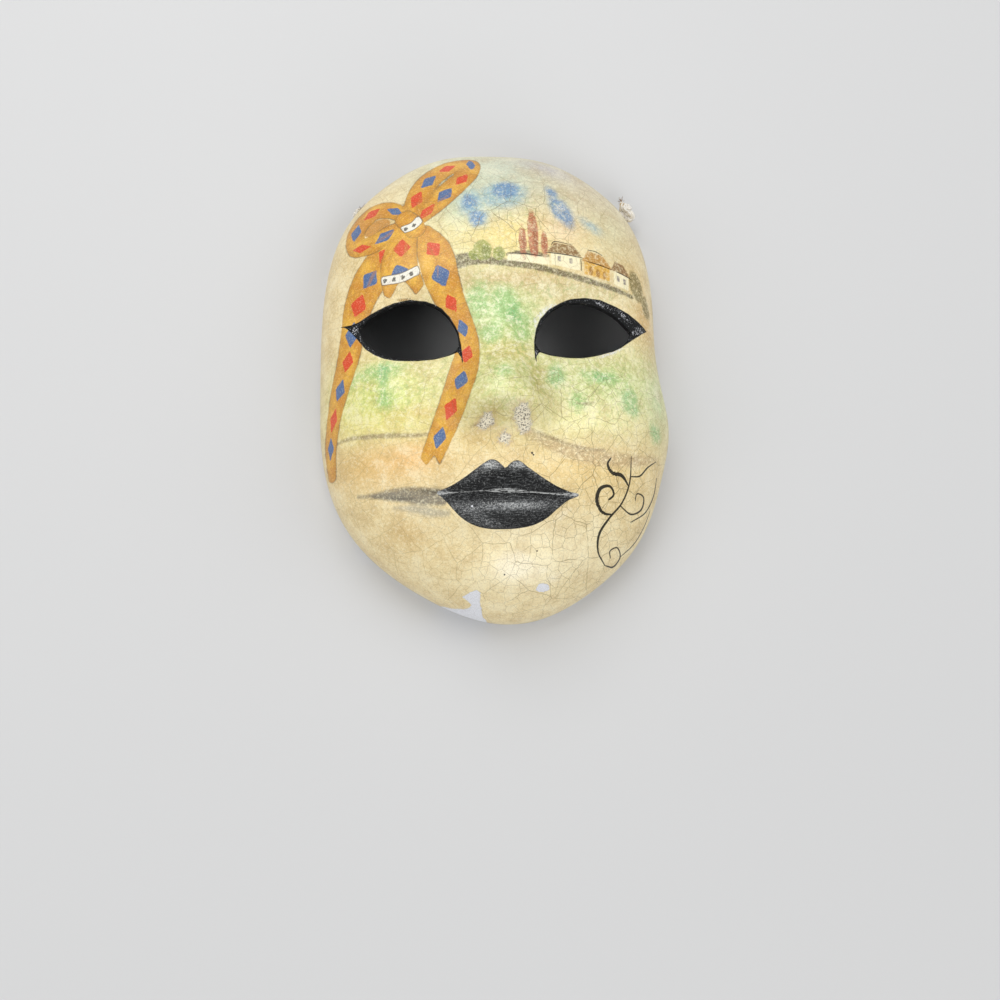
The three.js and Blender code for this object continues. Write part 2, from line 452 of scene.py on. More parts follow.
BROAD_FORMS = (
    Swelling(0, 56, 46, 34, 2.5),
    Swelling(31, 12, 21, 17, -5.5, turn=-8, paired=True),
    Swelling(28, 36, 26, 10, 1.5, turn=-8, paired=True),
    Swelling(-0.6, -13.5, 11, 11, 6.5, power=2.7),
    Swelling(11.5, -19, 7, 7, 5.5, paired=True),
    Swelling(40, -16, 24, 22, 3, paired=True),
    Swelling(0, -48, 36, 24, 4.5),
    Swelling(0, -68, 24, 6, -1.8),
    Swelling(2, -82, 24, 13, 2.5),
)
LIP_FORMS = (
    Swelling(8, -44.5, 13, 5, 1.8, turn=-18, paired=True),
    Swelling(0, -56.5, 16, 5.6, 2.2),
    Swelling(0.5, -50.6, 24, 1.8, -1.4),
    Swelling(-0.5, -34, 3.4, 6, -0.8),
)
NORMAL_STEP = 0.05


@dataclass(frozen=True)
class FaceForm:
    """The dome of the face over its outline, in millimetres."""

    middle_x: float = -1.6
    widest_y: float = -16
    top_y: float = 100
    chin_y: float = -100
    half_width: float = 71.3
    chin_lean: float = 5.7
    power_top: Pair = (2.78, 3.03)
    power_chin: Pair = (2.0, 2.04)
    shoulder: float = 0.05
    cheek_swell: Triple = (0.046, -22, 18)
    temple_dip: Triple = (0.014, 14, 18)
    dome_height: float = 45
    dome_power: float = 2.4
    nose_root_y: float = 28
    nose_tip_y: float = -18
    nose_base_y: float = -31
    nose_base_end_y: float = -12
    nose_rise: float = 9
    nose_root_width: float = 9.5
    nose_spread: float = 4.5

    def lean(self, y: Array) -> Array:
        """Tells how far the outline's middle line stands to the right."""
        return self.chin_lean * (np.maximum(self.widest_y - y, 0) / (self.widest_y - self.chin_y)) ** 2

    def stretch(self, side: Array, y: Array) -> Array:
        """Tells how much the right half swells at the cheek and draws in at the temple.

        Args:
            side: Places across, of which only the sign counts.
            y: Places along.

        Returns:
            The stretch, 1 on the left half.
        """
        cheek = self.cheek_swell[0] * np.exp(-(((y - self.cheek_swell[1]) / self.cheek_swell[2]) ** 2))
        temple = self.temple_dip[0] * np.exp(-(((y - self.temple_dip[1]) / self.temple_dip[2]) ** 2))
        return np.where(side < 0, 1.0, 1 + cheek - temple)

    def outline_share(self, x: Array, y: Array) -> Array:
        """Tells where places lie between the middle and the outline.

        Args:
            x: Places across, from the middle line.
            y: Places along.

        Returns:
            0 in the middle, 1 on the outline.
        """
        above = y >= self.widest_y
        top = np.where(x >= 0, self.power_top[1], self.power_top[0])
        chin = np.where(x >= 0, self.power_chin[1], self.power_chin[0])
        power = np.where(above, top, chin)
        reach = np.where(above, self.top_y - self.widest_y, self.widest_y - self.chin_y)
        across = (np.abs(x) / self.half_width) ** power
        along = (np.abs(y - self.widest_y) / reach) ** power
        both = np.maximum(across + along, SMALLEST_AREA)
        q = across / both
        return both ** (1 / power) * (1 - self.shoulder * 4 * q * (1 - q) * (2 * q - 1))

    def place(self, share: Array, angle: Array) -> tuple[Array, Array]:
        """Finds the places that lie this share of the way to the outline.

        Args:
            share: 0 in the middle, 1 on the outline.
            angle: The direction from the middle.

        Returns:
            The places across and along.
        """
        dx, dy = np.cos(angle), np.sin(angle)
        radius = share / self.outline_share(dx, self.widest_y + dy)
        y = self.widest_y + radius * dy
        return self.middle_x + radius * dx * self.stretch(dx, y) + self.lean(y), y

    def share_at(self, x: Array, y: Array) -> Array:
        """Tells the share of any place in the frame."""
        offset = x - self.middle_x - self.lean(y)
        return self.outline_share(offset / self.stretch(offset, y), y)

    def unrolled(self, x: Array, y: Array, z: Array, steps: int = 48) -> Array:
        """Lays the dome out flat from its middle, so that a pattern keeps its scale down its sides.

        Args:
            x: Places across.
            y: Places along.
            z: Places up, of which the lowest stand on the outline.
            steps: How many stretches each way down is measured in.

        Returns:
            The flattened places, with 0 as their third number.
        """
        dx, dy = x - self.middle_x, y - self.widest_y
        reach = np.maximum(np.hypot(dx, dy), 1e-6)
        share = np.clip(np.where(z < 0.5, 1.0, self.share_at(x, y)), 1e-3, 1)
        gone = np.zeros(x.shape)
        last = np.full(x.shape, self.dome_height)
        for step in range(1, steps + 1):
            part = share * math.sin(step / steps * math.pi / 2)
            height = self.dome_height * np.maximum(1 - part**self.dome_power, 0) ** (1 / self.dome_power)
            before = share * math.sin((step - 1) / steps * math.pi / 2)
            gone += np.hypot((part - before) * reach / share, height - last)
            last = height
        return np.stack([dx / reach * gone, dy / reach * gone, np.zeros(x.shape)], axis=1)

    def full_height(self, x: Array, y: Array, forms: Sequence[Swelling]) -> Array:
        """Measures the face before the dome's edge turns it down.

        Args:
            x: Places across.
            y: Places along.
            forms: The swellings that count.

        Returns:
            The height there.
        """
        along = np.clip((self.nose_root_y - y) / (self.nose_root_y - self.nose_tip_y), 0, 1)
        t = np.clip((y - self.nose_base_y) / (self.nose_base_end_y - self.nose_base_y), 0, 1)
        base = t * t * (3 - 2 * t)
        width = self.nose_root_width + self.nose_spread * along
        ridge = self.nose_rise * along**1.2 * base * np.exp(-((x / width) ** 2))
        return self.dome_height + ridge + total_height(forms, x, y)

    def value(self, x: Array, y: Array, z: Array, forms: Sequence[Swelling]) -> Array:
        """Gives 0 on the surface that these swellings make, less inside it and more outside it."""
        up = np.maximum(z, 0) / self.full_height(x, y, forms)
        return self.share_at(x, y) ** self.dome_power + up**self.dome_power - 1

    def height(self, x: Array, y: Array, forms: Sequence[Swelling]) -> Array:
        """Measures the height of the surface that these swellings make, 0 outside the outline."""
        left = np.maximum(1 - self.share_at(x, y) ** self.dome_power, 0)
        return left ** (1 / self.dome_power) * self.full_height(x, y, forms)

    def points(self, share: Array, angle: Array, depth: float, forms: Sequence[Swelling]) -> Array:
        """Finds points of the surface, or of one that lies under it.

        Args:
            share: 0 in the middle, 1 on the outline.
            angle: The direction from the middle.
            depth: How far the points are moved inwards.
            forms: The swellings that count.

        Returns:
            The points.
        """
        x, y = self.place(share, angle)
        edge = np.maximum(1 - share**self.dome_power, 0) ** (1 / self.dome_power)
        z = edge * self.full_height(x, y, forms)
        points = np.stack([x, y, z], axis=1)
        if depth == 0:
            return points
        lifted = np.maximum(z, NORMAL_STEP)
        normals = []
        for axis in range(3):
            step = np.zeros((3, 1))
            step[axis] = NORMAL_STEP
            ahead = self.value(x + step[0], y + step[1], lifted + step[2], forms)
            behind = self.value(x - step[0], y - step[1], lifted - step[2], forms)
            normals.append(ahead - behind)
        normal = np.stack(normals, axis=1)
        normal[share >= 1, 2] = 0
        return points - depth * normal / np.linalg.norm(normal, axis=1, keepdims=True)


@dataclass(frozen=True)
class EyeHole:
    """One open eye: the points of its lids from corner to corner, in millimetres."""

    upper_lid: tuple[Pair, ...]
    lower_lid: tuple[Pair, ...]

    def outline(self, steps: int) -> Array:
        """Draws the hole's outline.

        Args:
            steps: How many stretches each lid has.

        Returns:
            The outline's points, in millimetres.
        """
        lids = (self.upper_lid, self.lower_lid)
        upper, lower = (smooth_path(lid, steps, mirrored_ends=False) for lid in lids)
        return np.vstack([upper, lower[1:-1]])


FACE = FaceForm()
EYES = (
    EyeHole(
        upper_lid=(
            (-15.6, 6.5), (-16.2, 11.2), (-18.7, 16.5), (-22.3, 20.5), (-27, 23.1), (-33.1, 24.1),
            (-39.5, 23.4), (-46, 21.1), (-50.9, 18), (-53.8, 15.8),
        ),
        lower_lid=(
            (-53.8, 15.8), (-52.6, 11.8), (-50, 8.2), (-46.2, 5), (-41.6, 2.8), (-34.8, 1.3), (-27.8, 0.9),
            (-21.3, 1.8), (-17.1, 3.4), (-15.6, 6.5),
        ),
    ),
    EyeHole(
        upper_lid=(
            (12.9, 6.5), (14.1, 10.9), (16.5, 15.9), (20, 20.2), (24.8, 22.8), (31.1, 23.8), (37.8, 22.9),
            (44.6, 20.3), (49.7, 16.9), (52.6, 14.4),
        ),
        lower_lid=(
            (52.6, 14.4), (51.2, 11.3), (48.5, 8.5), (44.8, 6), (40, 4.2), (32.8, 2.1), (25.6, 1.6),
            (18.8, 2.1), (14.5, 3.5), (12.9, 6.5),
        ),
    ),
)  # fmt: skip


def eye_distance(x: Array, y: Array, steps: int) -> Array:
    """Measures how far places lie from the nearer eye hole's edge, with so many stretches to a lid."""
    return np.minimum.reduce([polygon_distance(x, y, eye.outline(steps)) for eye in EYES])


# The painting, in millimetres over the face as it is seen from above


class Shape(Protocol):
    """Anything painted that has an edge."""

    def distance(self, x: Array, y: Array) -> Array:
        """Measures how far places lie from the shape's edge, negative inside it."""


def nearest_of(shapes: Iterable[Shape], x: Array, y: Array) -> Array:
    """Measures how far places lie from the edge of the nearest of some shapes."""
    return np.minimum.reduce([shape.distance(x, y) for shape in shapes])


@dataclass(frozen=True)
class Wash:
    """A soft glow of thin colour."""

    x: float
    y: float
    across: float
    along: float
    colour: str
    strength: float
    turn: float = 0.0

    def cover(self, x: Array, y: Array) -> Array:
        """Tells how much of this colour lies on places."""
        return Swelling(self.x, self.y, self.across, self.along, self.strength, self.turn).height(x, y)


@dataclass(frozen=True)
class Blot:
    """A rounded spot of paint: its middle, its half sizes and its turn."""

    x: float
    y: float
    across: float
    along: float
    turn: float = 0.0

    def distance(self, x: Array, y: Array) -> Array:
        """Measures how far places lie from the spot's edge, negative inside it."""
        share = oval_share(x - self.x, y - self.y, self.across, self.along, self.turn)
        return (share - 1) * min(self.across, self.along)


@dataclass(frozen=True)
class Patch:
    """A spot of paint with corners."""

    corners: Sequence[Sequence[float]]

    def distance(self, x: Array, y: Array) -> Array:
        """Measures how far places lie from the spot's edge, negative inside it."""
        return polygon_distance(x, y, np.array(self.corners, float))


@dataclass(frozen=True)
class BrushLine:
    """A brush stroke through points, each with its half width."""

    points: tuple[Triple, ...]

    def distance(self, x: Array, y: Array) -> Array:
        """Measures how far places lie from the stroke's edge, negative inside it."""
        return stroke_distance(x, y, smooth_path(self.points, 8 * len(self.points)))


@dataclass(frozen=True)
class Stain:
    """Paint of one colour with a clear edge: its shapes, and how soft, uneven and thin it is."""

    name: str
    colour: str
    strength: float
    shapes: tuple[Shape, ...]
    softness: float = 0.3
    wander: float = 0.5
    thin: float = 0.4

    def distance(self, x: Array, y: Array) -> Array:
        """Measures how far places lie from the nearest shape's edge."""
        return nearest_of(self.shapes, x, y)


def pane(x: float, y: float, width: float, height: float) -> Patch:
    """Draws a small upright window whose right side stands a little lower."""
    drop = 0.2
    return Patch(((x, y), (x + width, y - drop), (x + width, y + height - drop), (x, y + height)))


GROUND_COLOUR = "e8d3a0"
WASHES = (
    Wash(4, 84, 36, 16, "c8d3c2", 0.9),
    Wash(-16, 64, 12, 24, "cedcbe", 0.85),
    Wash(40, 72, 22, 22, "d6ccb4", 0.75),
    Wash(4, 50, 30, 11, "f7e08c", 0.9),
    Wash(25, 53, 9, 9, "fae0c0", 0.7),
    Wash(46, 56, 10, 12, "d6d3ae", 0.6),
    Wash(22, 86, 12, 5, "b9b4c4", 0.6, turn=-20),
    Wash(3, 67, 11, 9, "b9d3cc", 0.6),
    Wash(-10, 63, 8, 9, "b3cfc8", 0.6),
    Wash(25, 65, 6, 9, "c2d2be", 0.45, turn=25),
    Wash(0, 14, 18, 20, "c6e09a", 0.95),
    Wash(6, 31, 26, 4, "d9b98a", 0.7),
    Wash(34, 28, 22, 4, "ccc392", 0.6),
    Wash(60, 20, 6, 10, "d8ae70", 0.7),
    Wash(54, 36, 5, 6, "e3c078", 0.6),
    Wash(-8, 6, 4, 6, "b9bd78", 0.75),
    Wash(-2, 2, 9, 6, "e9d484", 0.7),
    Wash(7, 0, 5, 4, "e0b45c", 0.6),
    Wash(0, -10, 17, 15, "d8d98c", 0.85),
    # Painted highlight: a light spot on the nose's tip.
    Wash(-3, -13, 6, 7, "e8eeb4", 0.7),
    # Painted shade: darker olive down the nose's right side.
    Wash(12.5, -10, 2.6, 11, "c0a94e", 0.85, turn=8),
    # Painted shade: darker olive under the nose.
    Wash(-1, -21, 12, 3.5, "b3a35c", 0.6),
    Wash(-42, -13, 22, 15, "dbe586", 0.95),
    Wash(-58, -14, 5, 10, "e4e080", 0.5),
    Wash(-42, -23, 19, 5, "ebdf80", 0.65),
    Wash(-30, -20, 8, 3, "e2c07c", 0.45),
    Wash(42, -8, 28, 15, "d2e29e", 0.9),
    Wash(30, -24, 22, 7, "f4efae", 0.8),
    Wash(-44, -38, 20, 8, "e3b86e", 0.85),
    Wash(-32, -36, 9, 5, "f4c27c", 0.7),
    Wash(-10, -31, 12, 4, "e2c688", 0.5),
    Wash(26, -42, 26, 8, "eed08c", 0.75),
    # Partly a painted highlight: the chin's broad glow, over its own pale cream.
    Wash(8, -76, 32, 17, "f4e7bc", 0.7),
    Wash(-36, -64, 7, 6, "d6b478", 0.5),
    Wash(-24, -70, 9, 5, "dfc48a", 0.2),
    Wash(30, -85, 12, 5, "dcc484", 0.4),
    # Painted highlight: the brightest part of the chin's glow, in this wash and the next.
    Wash(26, -74, 16, 14, "f7ecc8", 0.5),
    Wash(4, -77, 11, 7, "fff8de", 0.5),
    Wash(63, -14, 6, 15, "cfdfae", 0.85),
)
STAINS = (
    Stain("pale_blue", "8fb6c6", 0.75, softness=2.2, wander=1.9, thin=0.35, shapes=(
        Blot(3, 68.5, 9.5, 6.4, 12), Blot(-9.5, 64, 4.6, 6.2, -15), Blot(-7, 57, 3.6, 4.2),
        Blot(37.5, 56.5, 4.4, 1.9, -30),
    )),
    Stain("deep_blue", "5f8dbd", 0.9, softness=1.5, wander=1.5, thin=0.3, shapes=(
        Blot(4, 70.8, 5.2, 4.2, 15), Blot(-10.4, 65, 2.8, 3.4), Blot(-7.6, 57, 3.2, 3.4),
        Blot(22.4, 71.2, 1.9, 3.2, 35), Blot(25.8, 61.8, 3.8, 7.6, 28),
    )),
    Stain("meadow_green", "8cc67c", 0.7, softness=2.2, wander=3.0, thin=0.6, shapes=(
        Blot(2, 21, 5.5, 8, 25), Blot(-8, 23, 4, 7), Blot(8, 12, 3.4, 6, -15), Blot(-4, 9, 4, 4),
        Blot(0, -8, 2.8, 2.4), Blot(-46, -3, 9, 3.2, 5), Blot(-57.5, -5, 2.6, 3.6),
        Blot(-43, -14.5, 3.4, 3.4), Blot(39, -6.5, 6.4, 2), Blot(28, -16.5, 3, 3.6),
    )),
    Stain("strong_green", "72bd84", 0.64, softness=1.8, wander=2.6, thin=0.6, shapes=(
        Blot(20, -6.6, 3.4, 4.6, -20), Blot(49.6, -15.6, 4, 5.6, 15), Blot(5, 17, 2.4, 3.8),
        Blot(61, -26, 2.6, 3.4, 20), Blot(37, -6, 5, 1.6, -10), Blot(-44, -6.4, 2, 6),
    )),
    Stain("far_line", "655b45", 0.95, softness=0.5, wander=1.0, thin=0.35, shapes=(
        BrushLine((
            (-25, 32.6, 0.8), (-16.4, 36.6, 1.7), (-7, 38, 1.4), (0.6, 37.6, 1.5), (15.6, 35.6, 1.2),
            (30.6, 32.6, 1.1), (42, 30.6, 1), (54, 28.6, 0.7),
        )),
        BrushLine(((-20, 37.4, 0.6), (-13, 40, 1.2), (-7, 39.4, 0.8))),
        BrushLine(((3, 40.6, 0.6), (10, 41.4, 1.1), (19, 40.4, 0.8))),
    )),
    Stain("near_shore", "a07f68", 0.5, softness=1.6, wander=1.2, thin=0.75, shapes=(BrushLine((
        (7, -28, 0.8), (15, -31.6, 2.2), (27.5, -36, 3), (38, -37.4, 3), (50, -37.6, 2.2), (62, -36, 1),
    )),)),
    Stain("shore_edge", "87755a", 0.75, softness=0.6, wander=0.6, thin=0.35, shapes=(
        BrushLine((
            (-64, -28.4, 0.3), (-57.6, -27.3, 0.7), (-44, -27.8, 0.9), (-30.8, -28.5, 0.7),
            (-21, -27.4, 0.3),
        )),
        BrushLine(((-12.8, -26.6, 0.3), (-8, -25.6, 0.6), (-4, -26, 0.3))),
        BrushLine(((9, -27.6, 0.2), (15, -29.6, 0.5), (27.5, -33.8, 0.5), (38, -34.6, 0.3))),
        BrushLine(((26.5, -17.2, 0.2), (30, -17.4, 0.5), (34.5, -16.8, 0.3))),
    )),
    Stain("pale_smear", "a8a495", 0.7, softness=1.2, wander=1.0, thin=0.25, shapes=(BrushLine((
        (-41, -54, 0.3), (-34, -54.6, 1.3), (-27, -56.2, 1.7), (-20.5, -57, 1.2),
    )),)),
    Stain("grey_smear", "6c6a63", 0.88, softness=0.9, wander=0.8, thin=0.2, shapes=(BrushLine((
        (-55, -49, 0.3), (-47, -49.2, 1.1), (-39, -49.8, 2.1), (-30, -50.8, 2.7), (-22, -51.4, 2.8),
    )),)),
    Stain("smear_streaks", "4a4843", 0.8, softness=0.8, wander=0.6, thin=0.35, shapes=(
        BrushLine(((-44, -47.6, 0.2), (-37, -47.4, 0.5), (-30, -48, 0.8), (-21, -49.6, 1.1))),
        BrushLine(((-48, -49.8, 0.2), (-40, -50.6, 0.4), (-33, -51.2, 0.3))),
    )),
    Stain("pale_walls", "f9f0cb", 0.95, thin=0.2, shapes=(
        Patch(((20, 37), (31.4, 35.4), (31.4, 41.6), (20, 42.6))),
        Patch(((45.4, 32), (52, 30.8), (52.2, 36.4), (45.6, 37.8))),
        Patch(((3, 38.2), (19.4, 36.8), (19.4, 39.8), (3.4, 41))),
    )),
    Stain("ochre_walls", "deaa42", 0.95, (Patch(((33, 34.2), (43.6, 32.6), (43.8, 38.4), (33.2, 39.8))),)),
    Stain("brown_roofs", "876340", 0.95, wander=0.7, thin=0.45, shapes=(
        Patch(((18.4, 42.2), (32.6, 41), (29.4, 45.8), (21.8, 46.6))),
        Patch(((44.2, 37.8), (53.4, 36.2), (50.4, 41), (46.6, 42))),
    )),
    Stain("amber_roof", "b9802c", 0.9, wander=0.6, thin=0.45, shapes=(Patch((
        (32, 39.6), (44.8, 37.8), (41, 43.2), (35, 44.4),
    )),)),
    Stain("poplars", "bb6a50", 0.95, wander=0.8, thin=0.35, shapes=(
        Blot(9.4, 46.6, 1.5, 7), Blot(13.6, 50, 2.1, 10.4), Blot(17.8, 45.6, 1.4, 5.6),
    )),
    Stain("poplar_shade", "94553f", 0.7, softness=0.4, wander=0.7, thin=0.7, shapes=(
        Blot(14.4, 48, 0.8, 8), Blot(9.9, 45, 0.6, 5), Blot(18, 44.6, 0.5, 4),
    )),
    Stain("bushes", "98a04a", 0.92, wander=0.9, thin=0.35, shapes=(
        Blot(-6, 42.6, 3.4, 4.4), Blot(0.2, 41.2, 2.3, 2.8), Blot(-9.4, 40.6, 2, 2.2),
    )),
    Stain("bush_shade", "75833f", 0.75, softness=0.4, wander=0.8, thin=0.6, shapes=(
        Blot(-4.8, 41.8, 1.7, 3), Blot(0.8, 40.6, 1.1, 1.6), Blot(-9, 40, 0.9, 1.2),
    )),
    Stain("dark_bushes", "756a3c", 0.9, softness=0.5, wander=1.0, thin=0.5, shapes=(
        Blot(56, 33.6, 3.2, 6.4, 14), Blot(60.6, 26.6, 2, 4.8, 12),
    )),
    Stain("windows", "6a6272", 0.8, softness=0.2, wander=0.3, shapes=(
        pane(22.6, 38.6, 1.3, 2.3), pane(27.2, 38, 1.3, 2.3), pane(46.9, 33.4, 1.1, 2.4),
        pane(49.7, 32.9, 1.1, 2.4),
    )),
    Stain("doors", "95601f", 0.85, softness=0.25, wander=0.4, thin=0.5, shapes=(
        Blot(35.8, 35.6, 0.8, 1.9), Blot(38.6, 35.2, 0.8, 1.9), Blot(41.4, 34.8, 0.7, 1.7),
    )),
)  # fmt: skip


class Level(Enum):
    """How the parts of the painted bow lie over each other, from below."""

    TAILS = "tails"
    LOOPS = "loops"
    KNOT = "knot"


@dataclass(frozen=True)
class Ribbon:
    """A stretch of painted ribbon: points on its middle with their half widths, and its row of lozenges."""

    level: Level
    points: tuple[Triple, ...]
    first: float = 5
    spacing: float = 11
    half_long: float = 4.6
    fullness: float = 0.56

    def line(self) -> Array:
        """Draws the ribbon's middle, with its half width as a third number."""
        return smooth_path(self.points, 60)

    def distance(self, x: Array, y: Array) -> Array:
        """Measures how far places lie from the ribbon's edge, negative inside it."""
        return stroke_distance(x, y, self.line())

    def spot(self, along: float) -> tuple[Array, Array, float]:
        """Finds a spot on the ribbon's middle.

        Args:
            along: How far it lies from the ribbon's first point.

        Returns:
            The spot, the ribbon's direction there and its half width.
        """
        line = self.line()
        gone = length_along(line[:, :2])
        here, ahead = (np.array([np.interp(t, gone, row) for row in line.T]) for t in (along, along + 1))
        course = (ahead - here)[:2]
        return here[:2], course / max(np.hypot(*course), SHORTEST), float(here[2])

    def length(self) -> float:
        """Measures the ribbon's middle."""
        return float(length_along(self.line()[:, :2])[-1])


RIBBONS = (
    Ribbon(Level.TAILS, first=11, points=(
        (-36, 52, 4.5), (-43, 43, 6.5), (-49, 34, 7), (-53.5, 25, 6), (-56, 15, 5), (-58, 4, 4.6),
        (-61.5, -8, 4), (-64.3, -19, 3.2), (-66, -30, 2.8), (-65.8, -41, 2),
    )),
    Ribbon(Level.TAILS, first=10, points=(
        (-30, 52, 4.5), (-24.5, 43, 6.6), (-22, 33, 6.6), (-18.4, 23, 5.4), (-14.2, 13, 4.4),
        (-12.6, 4, 4.4), (-14.5, -6, 5.2), (-18.5, -18, 5), (-23.5, -30, 4.3), (-27, -38, 3.8),
    )),
    Ribbon(Level.LOOPS, first=9, half_long=4.2, points=(
        (-34, 54, 4), (-36.6, 46, 6), (-37.6, 37, 7.2), (-36, 28.4, 7.8),
    )),
    Ribbon(Level.LOOPS, first=11, spacing=10.5, points=(
        (-32, 57, 2.4), (-31.5, 66, 4.2), (-27, 76, 4.8), (-18.5, 84.5, 4.4), (-9.5, 87, 3.6),
        (-10.5, 80.5, 4.2), (-17.5, 71.5, 4.6), (-25, 63, 4), (-31, 56.5, 2.4),
    )),
    Ribbon(Level.LOOPS, first=8, spacing=10, points=(
        (-34, 57.5, 2.4), (-40.5, 64, 4), (-48.5, 65, 4.4), (-55, 58, 4.2), (-54.5, 49.5, 4),
        (-47.5, 49.5, 4.2), (-40.5, 53.5, 3.6), (-34, 56, 2.4),
    )),
    Ribbon(Level.KNOT, first=60, points=((-36.5, 60, 3.9), (-33, 56, 4.3), (-30.5, 51.5, 3.8))),
)  # fmt: skip
LOOP_INSIDES = (Blot(-27, 67.4, 4, 8.4, -38), Blot(-46.6, 56.8, 5.6, 3.6, 20))
FOLDS = (
    BrushLine(((-31.5, 60, 0.3), (-29, 68, 0.6), (-24.5, 75, 0.2))),
    BrushLine(((-29, 58, 0.3), (-23, 64.5, 0.55), (-17, 70, 0.2))),
    BrushLine(((-37, 59, 0.3), (-43, 62.5, 0.6), (-48, 63, 0.2))),
    BrushLine(((-37, 55.5, 0.3), (-43.5, 51.5, 0.6), (-49, 49.5, 0.2))),
    BrushLine(((-34.5, 50, 0.3), (-35, 43, 0.7), (-33.6, 36, 0.2))),
    BrushLine(((-37.5, 49, 0.3), (-41, 42, 0.6), (-41.6, 35, 0.2))),
    BrushLine(((-28.5, 48, 0.3), (-24, 40, 0.6), (-22.6, 31, 0.2))),
    BrushLine(((-40, 47, 0.3), (-47, 37, 0.7), (-51.6, 27, 0.2))),
)  # fmt: skip
# Each trim crosses a ribbon, given by its number, so far from the ribbon's start
TRIMS = ((2, 20.5), (5, 5.4))
TRIM_HALF_WIDTH = 1.75
TRIM_BEND = 1.2
DOT_RADIUS = 0.95
DOT_SPACING = 3.4
TAIL_NOTCHES = (
    Patch(((-30.5, -42.5), (-25.4, -36.0), (-22.6, -41.5))),
    Patch(((-41.5, 25), (-36.6, 33), (-30.5, 25))),
)  # fmt: skip

MOUTH = (
    (-25.3, -49.3), (-20.5, -47.6), (-16, -45.3), (-11.5, -42.2), (-8, -39.7), (-5.6, -38.3), (-3.4, -38.5),
    (-1.6, -39.9), (0, -41.5), (1.5, -40.1), (3.3, -38.9), (5.4, -39), (8.6, -41.6), (13.5, -45),
    (18.6, -47.9), (23.6, -49.8), (28, -51), (23.2, -53.2), (19.2, -56.2), (15, -59.6), (10, -62),
    (4.5, -63), (-1.5, -63.2), (-7, -62.8), (-12, -61.3), (-16, -58.8), (-19.4, -55.2), (-22.4, -51.8),
)  # fmt: skip
MOTTLED = (
    Swelling(0, 15, 24, 20, 1.0),
    Swelling(-42, -10, 22, 15, 0.9),
    Swelling(42, -8, 26, 17, 0.9),
    Swelling(2, -12, 17, 14, 0.6),
    Swelling(34, 28, 24, 5, 0.6),
    Swelling(8, 62, 34, 16, 0.4),
)
# Painted highlight: grey sheen where the glossy black lips catch the light, on the peaks, the corners and
# across the lower lip.
LIP_SHEEN = (
    Swelling(-5.6, -40.2, 3.4, 1.7, 1.5),
    Swelling(4.4, -40.4, 3.2, 1.6, 1.3),
    Swelling(11, -43.4, 5, 1.4, 0.4, turn=-32),
    Swelling(-11, -43.6, 5, 1.2, 0.3, turn=32),
    Swelling(25.4, -50.8, 3, 1.3, 0.9),
    Swelling(-23, -49.6, 2.6, 1.3, 0.8),
    Swelling(3, -55, 14, 1.7, 1.25),
    Swelling(-13, -56.6, 8, 2.4, 0.5, turn=-20),
    Swelling(-8, -60.6, 6, 1.2, 0.4, turn=-14),
)
EYE_PAINT = (
    Patch((
        (-60.3, 17.7), (-56.4, 17.4), (-53.5, 18.1), (-50.7, 19.5), (-47.6, 21), (-43.7, 22.6),
        (-39.8, 23.9), (-33.7, 24.7), (-27.7, 23.8), (-24.7, 22.6), (-21.7, 20.8), (-18.6, 17.2),
        (-15.7, 11), (-14.9, 6), (-14.6, 2), (-14.2, -2.2), (-15, 0.2), (-16.2, 2.9), (-19, 1.9),
        (-25, 0.6), (-31, 0.4), (-36, 0.6), (-40, 1.1), (-43.8, 2.1), (-47.6, 4.1), (-50.8, 6.6),
        (-53.2, 9.7), (-54.8, 12), (-56.6, 14.2), (-58.4, 16.2),
    )),
    Patch((
        (60.8, 16.7), (57.2, 18.8), (51.4, 21.5), (45.3, 23.6), (39.4, 25.2), (33.2, 25.5), (27.2, 24.6),
        (23.3, 23), (18.5, 20), (15.2, 16.2), (13.4, 12), (12.4, 6.8), (12.4, 2.8), (12.2, -1.4), (13, 0.6),
        (14.4, 2.6), (18.4, 1.7), (24.7, 1.2), (31, 1.4), (37.6, 2.9), (44.4, 5.3), (48, 7.3), (51.8, 10.2),
        (55.8, 13.1), (58.4, 15.1),
    )),
)  # fmt: skip
EYE_LINE = 0.3
EYE_WEAR = (
    Blot(-55.2, 15, 1.5, 1.6),
    Blot(56, 15.2, 3, 1.3, 25),
    Blot(49.4, 20.2, 2.6, 0.9, -35),
    Blot(40.4, 23.6, 3.6, 0.7, -14),
    Blot(13.2, 2.4, 0.8, 1),
)
EYE_BARE = (
    Blot(16, 18.2, 2.9, 1.1, 52), Blot(20, 21.3, 2, 0.5, 35), Blot(43.2, 4.6, 4.4, 0.7, 24),
    Blot(13.2, 13.4, 0.5, 2.4),
)  # fmt: skip

CHIPS = (
    Patch((
        (-15.9, -87.6), (-13.4, -86.2), (-11, -85.2), (-9.4, -85.8), (-9.1, -90.4), (-8.2, -95.6),
        (-5, -99.6), (-12, -101), (-20, -97), (-27.5, -92.8), (-26.8, -91.2), (-20, -92.4), (-13.4, -92.4),
        (-12.7, -90.8), (-14.2, -89.2),
    )),
    Patch((
        (-29, -91.5), (-36, -86.4), (-44, -80.4), (-52, -73), (-58, -66), (-62, -66), (-52, -77),
        (-42, -85.5), (-30, -93.8),
    )),
    Patch((
        (11.8, -85.6), (12.6, -84), (14.4, -83), (16.8, -83.8), (17, -85.6), (15.2, -86.6), (13, -86.6),
    )),
)  # fmt: skip
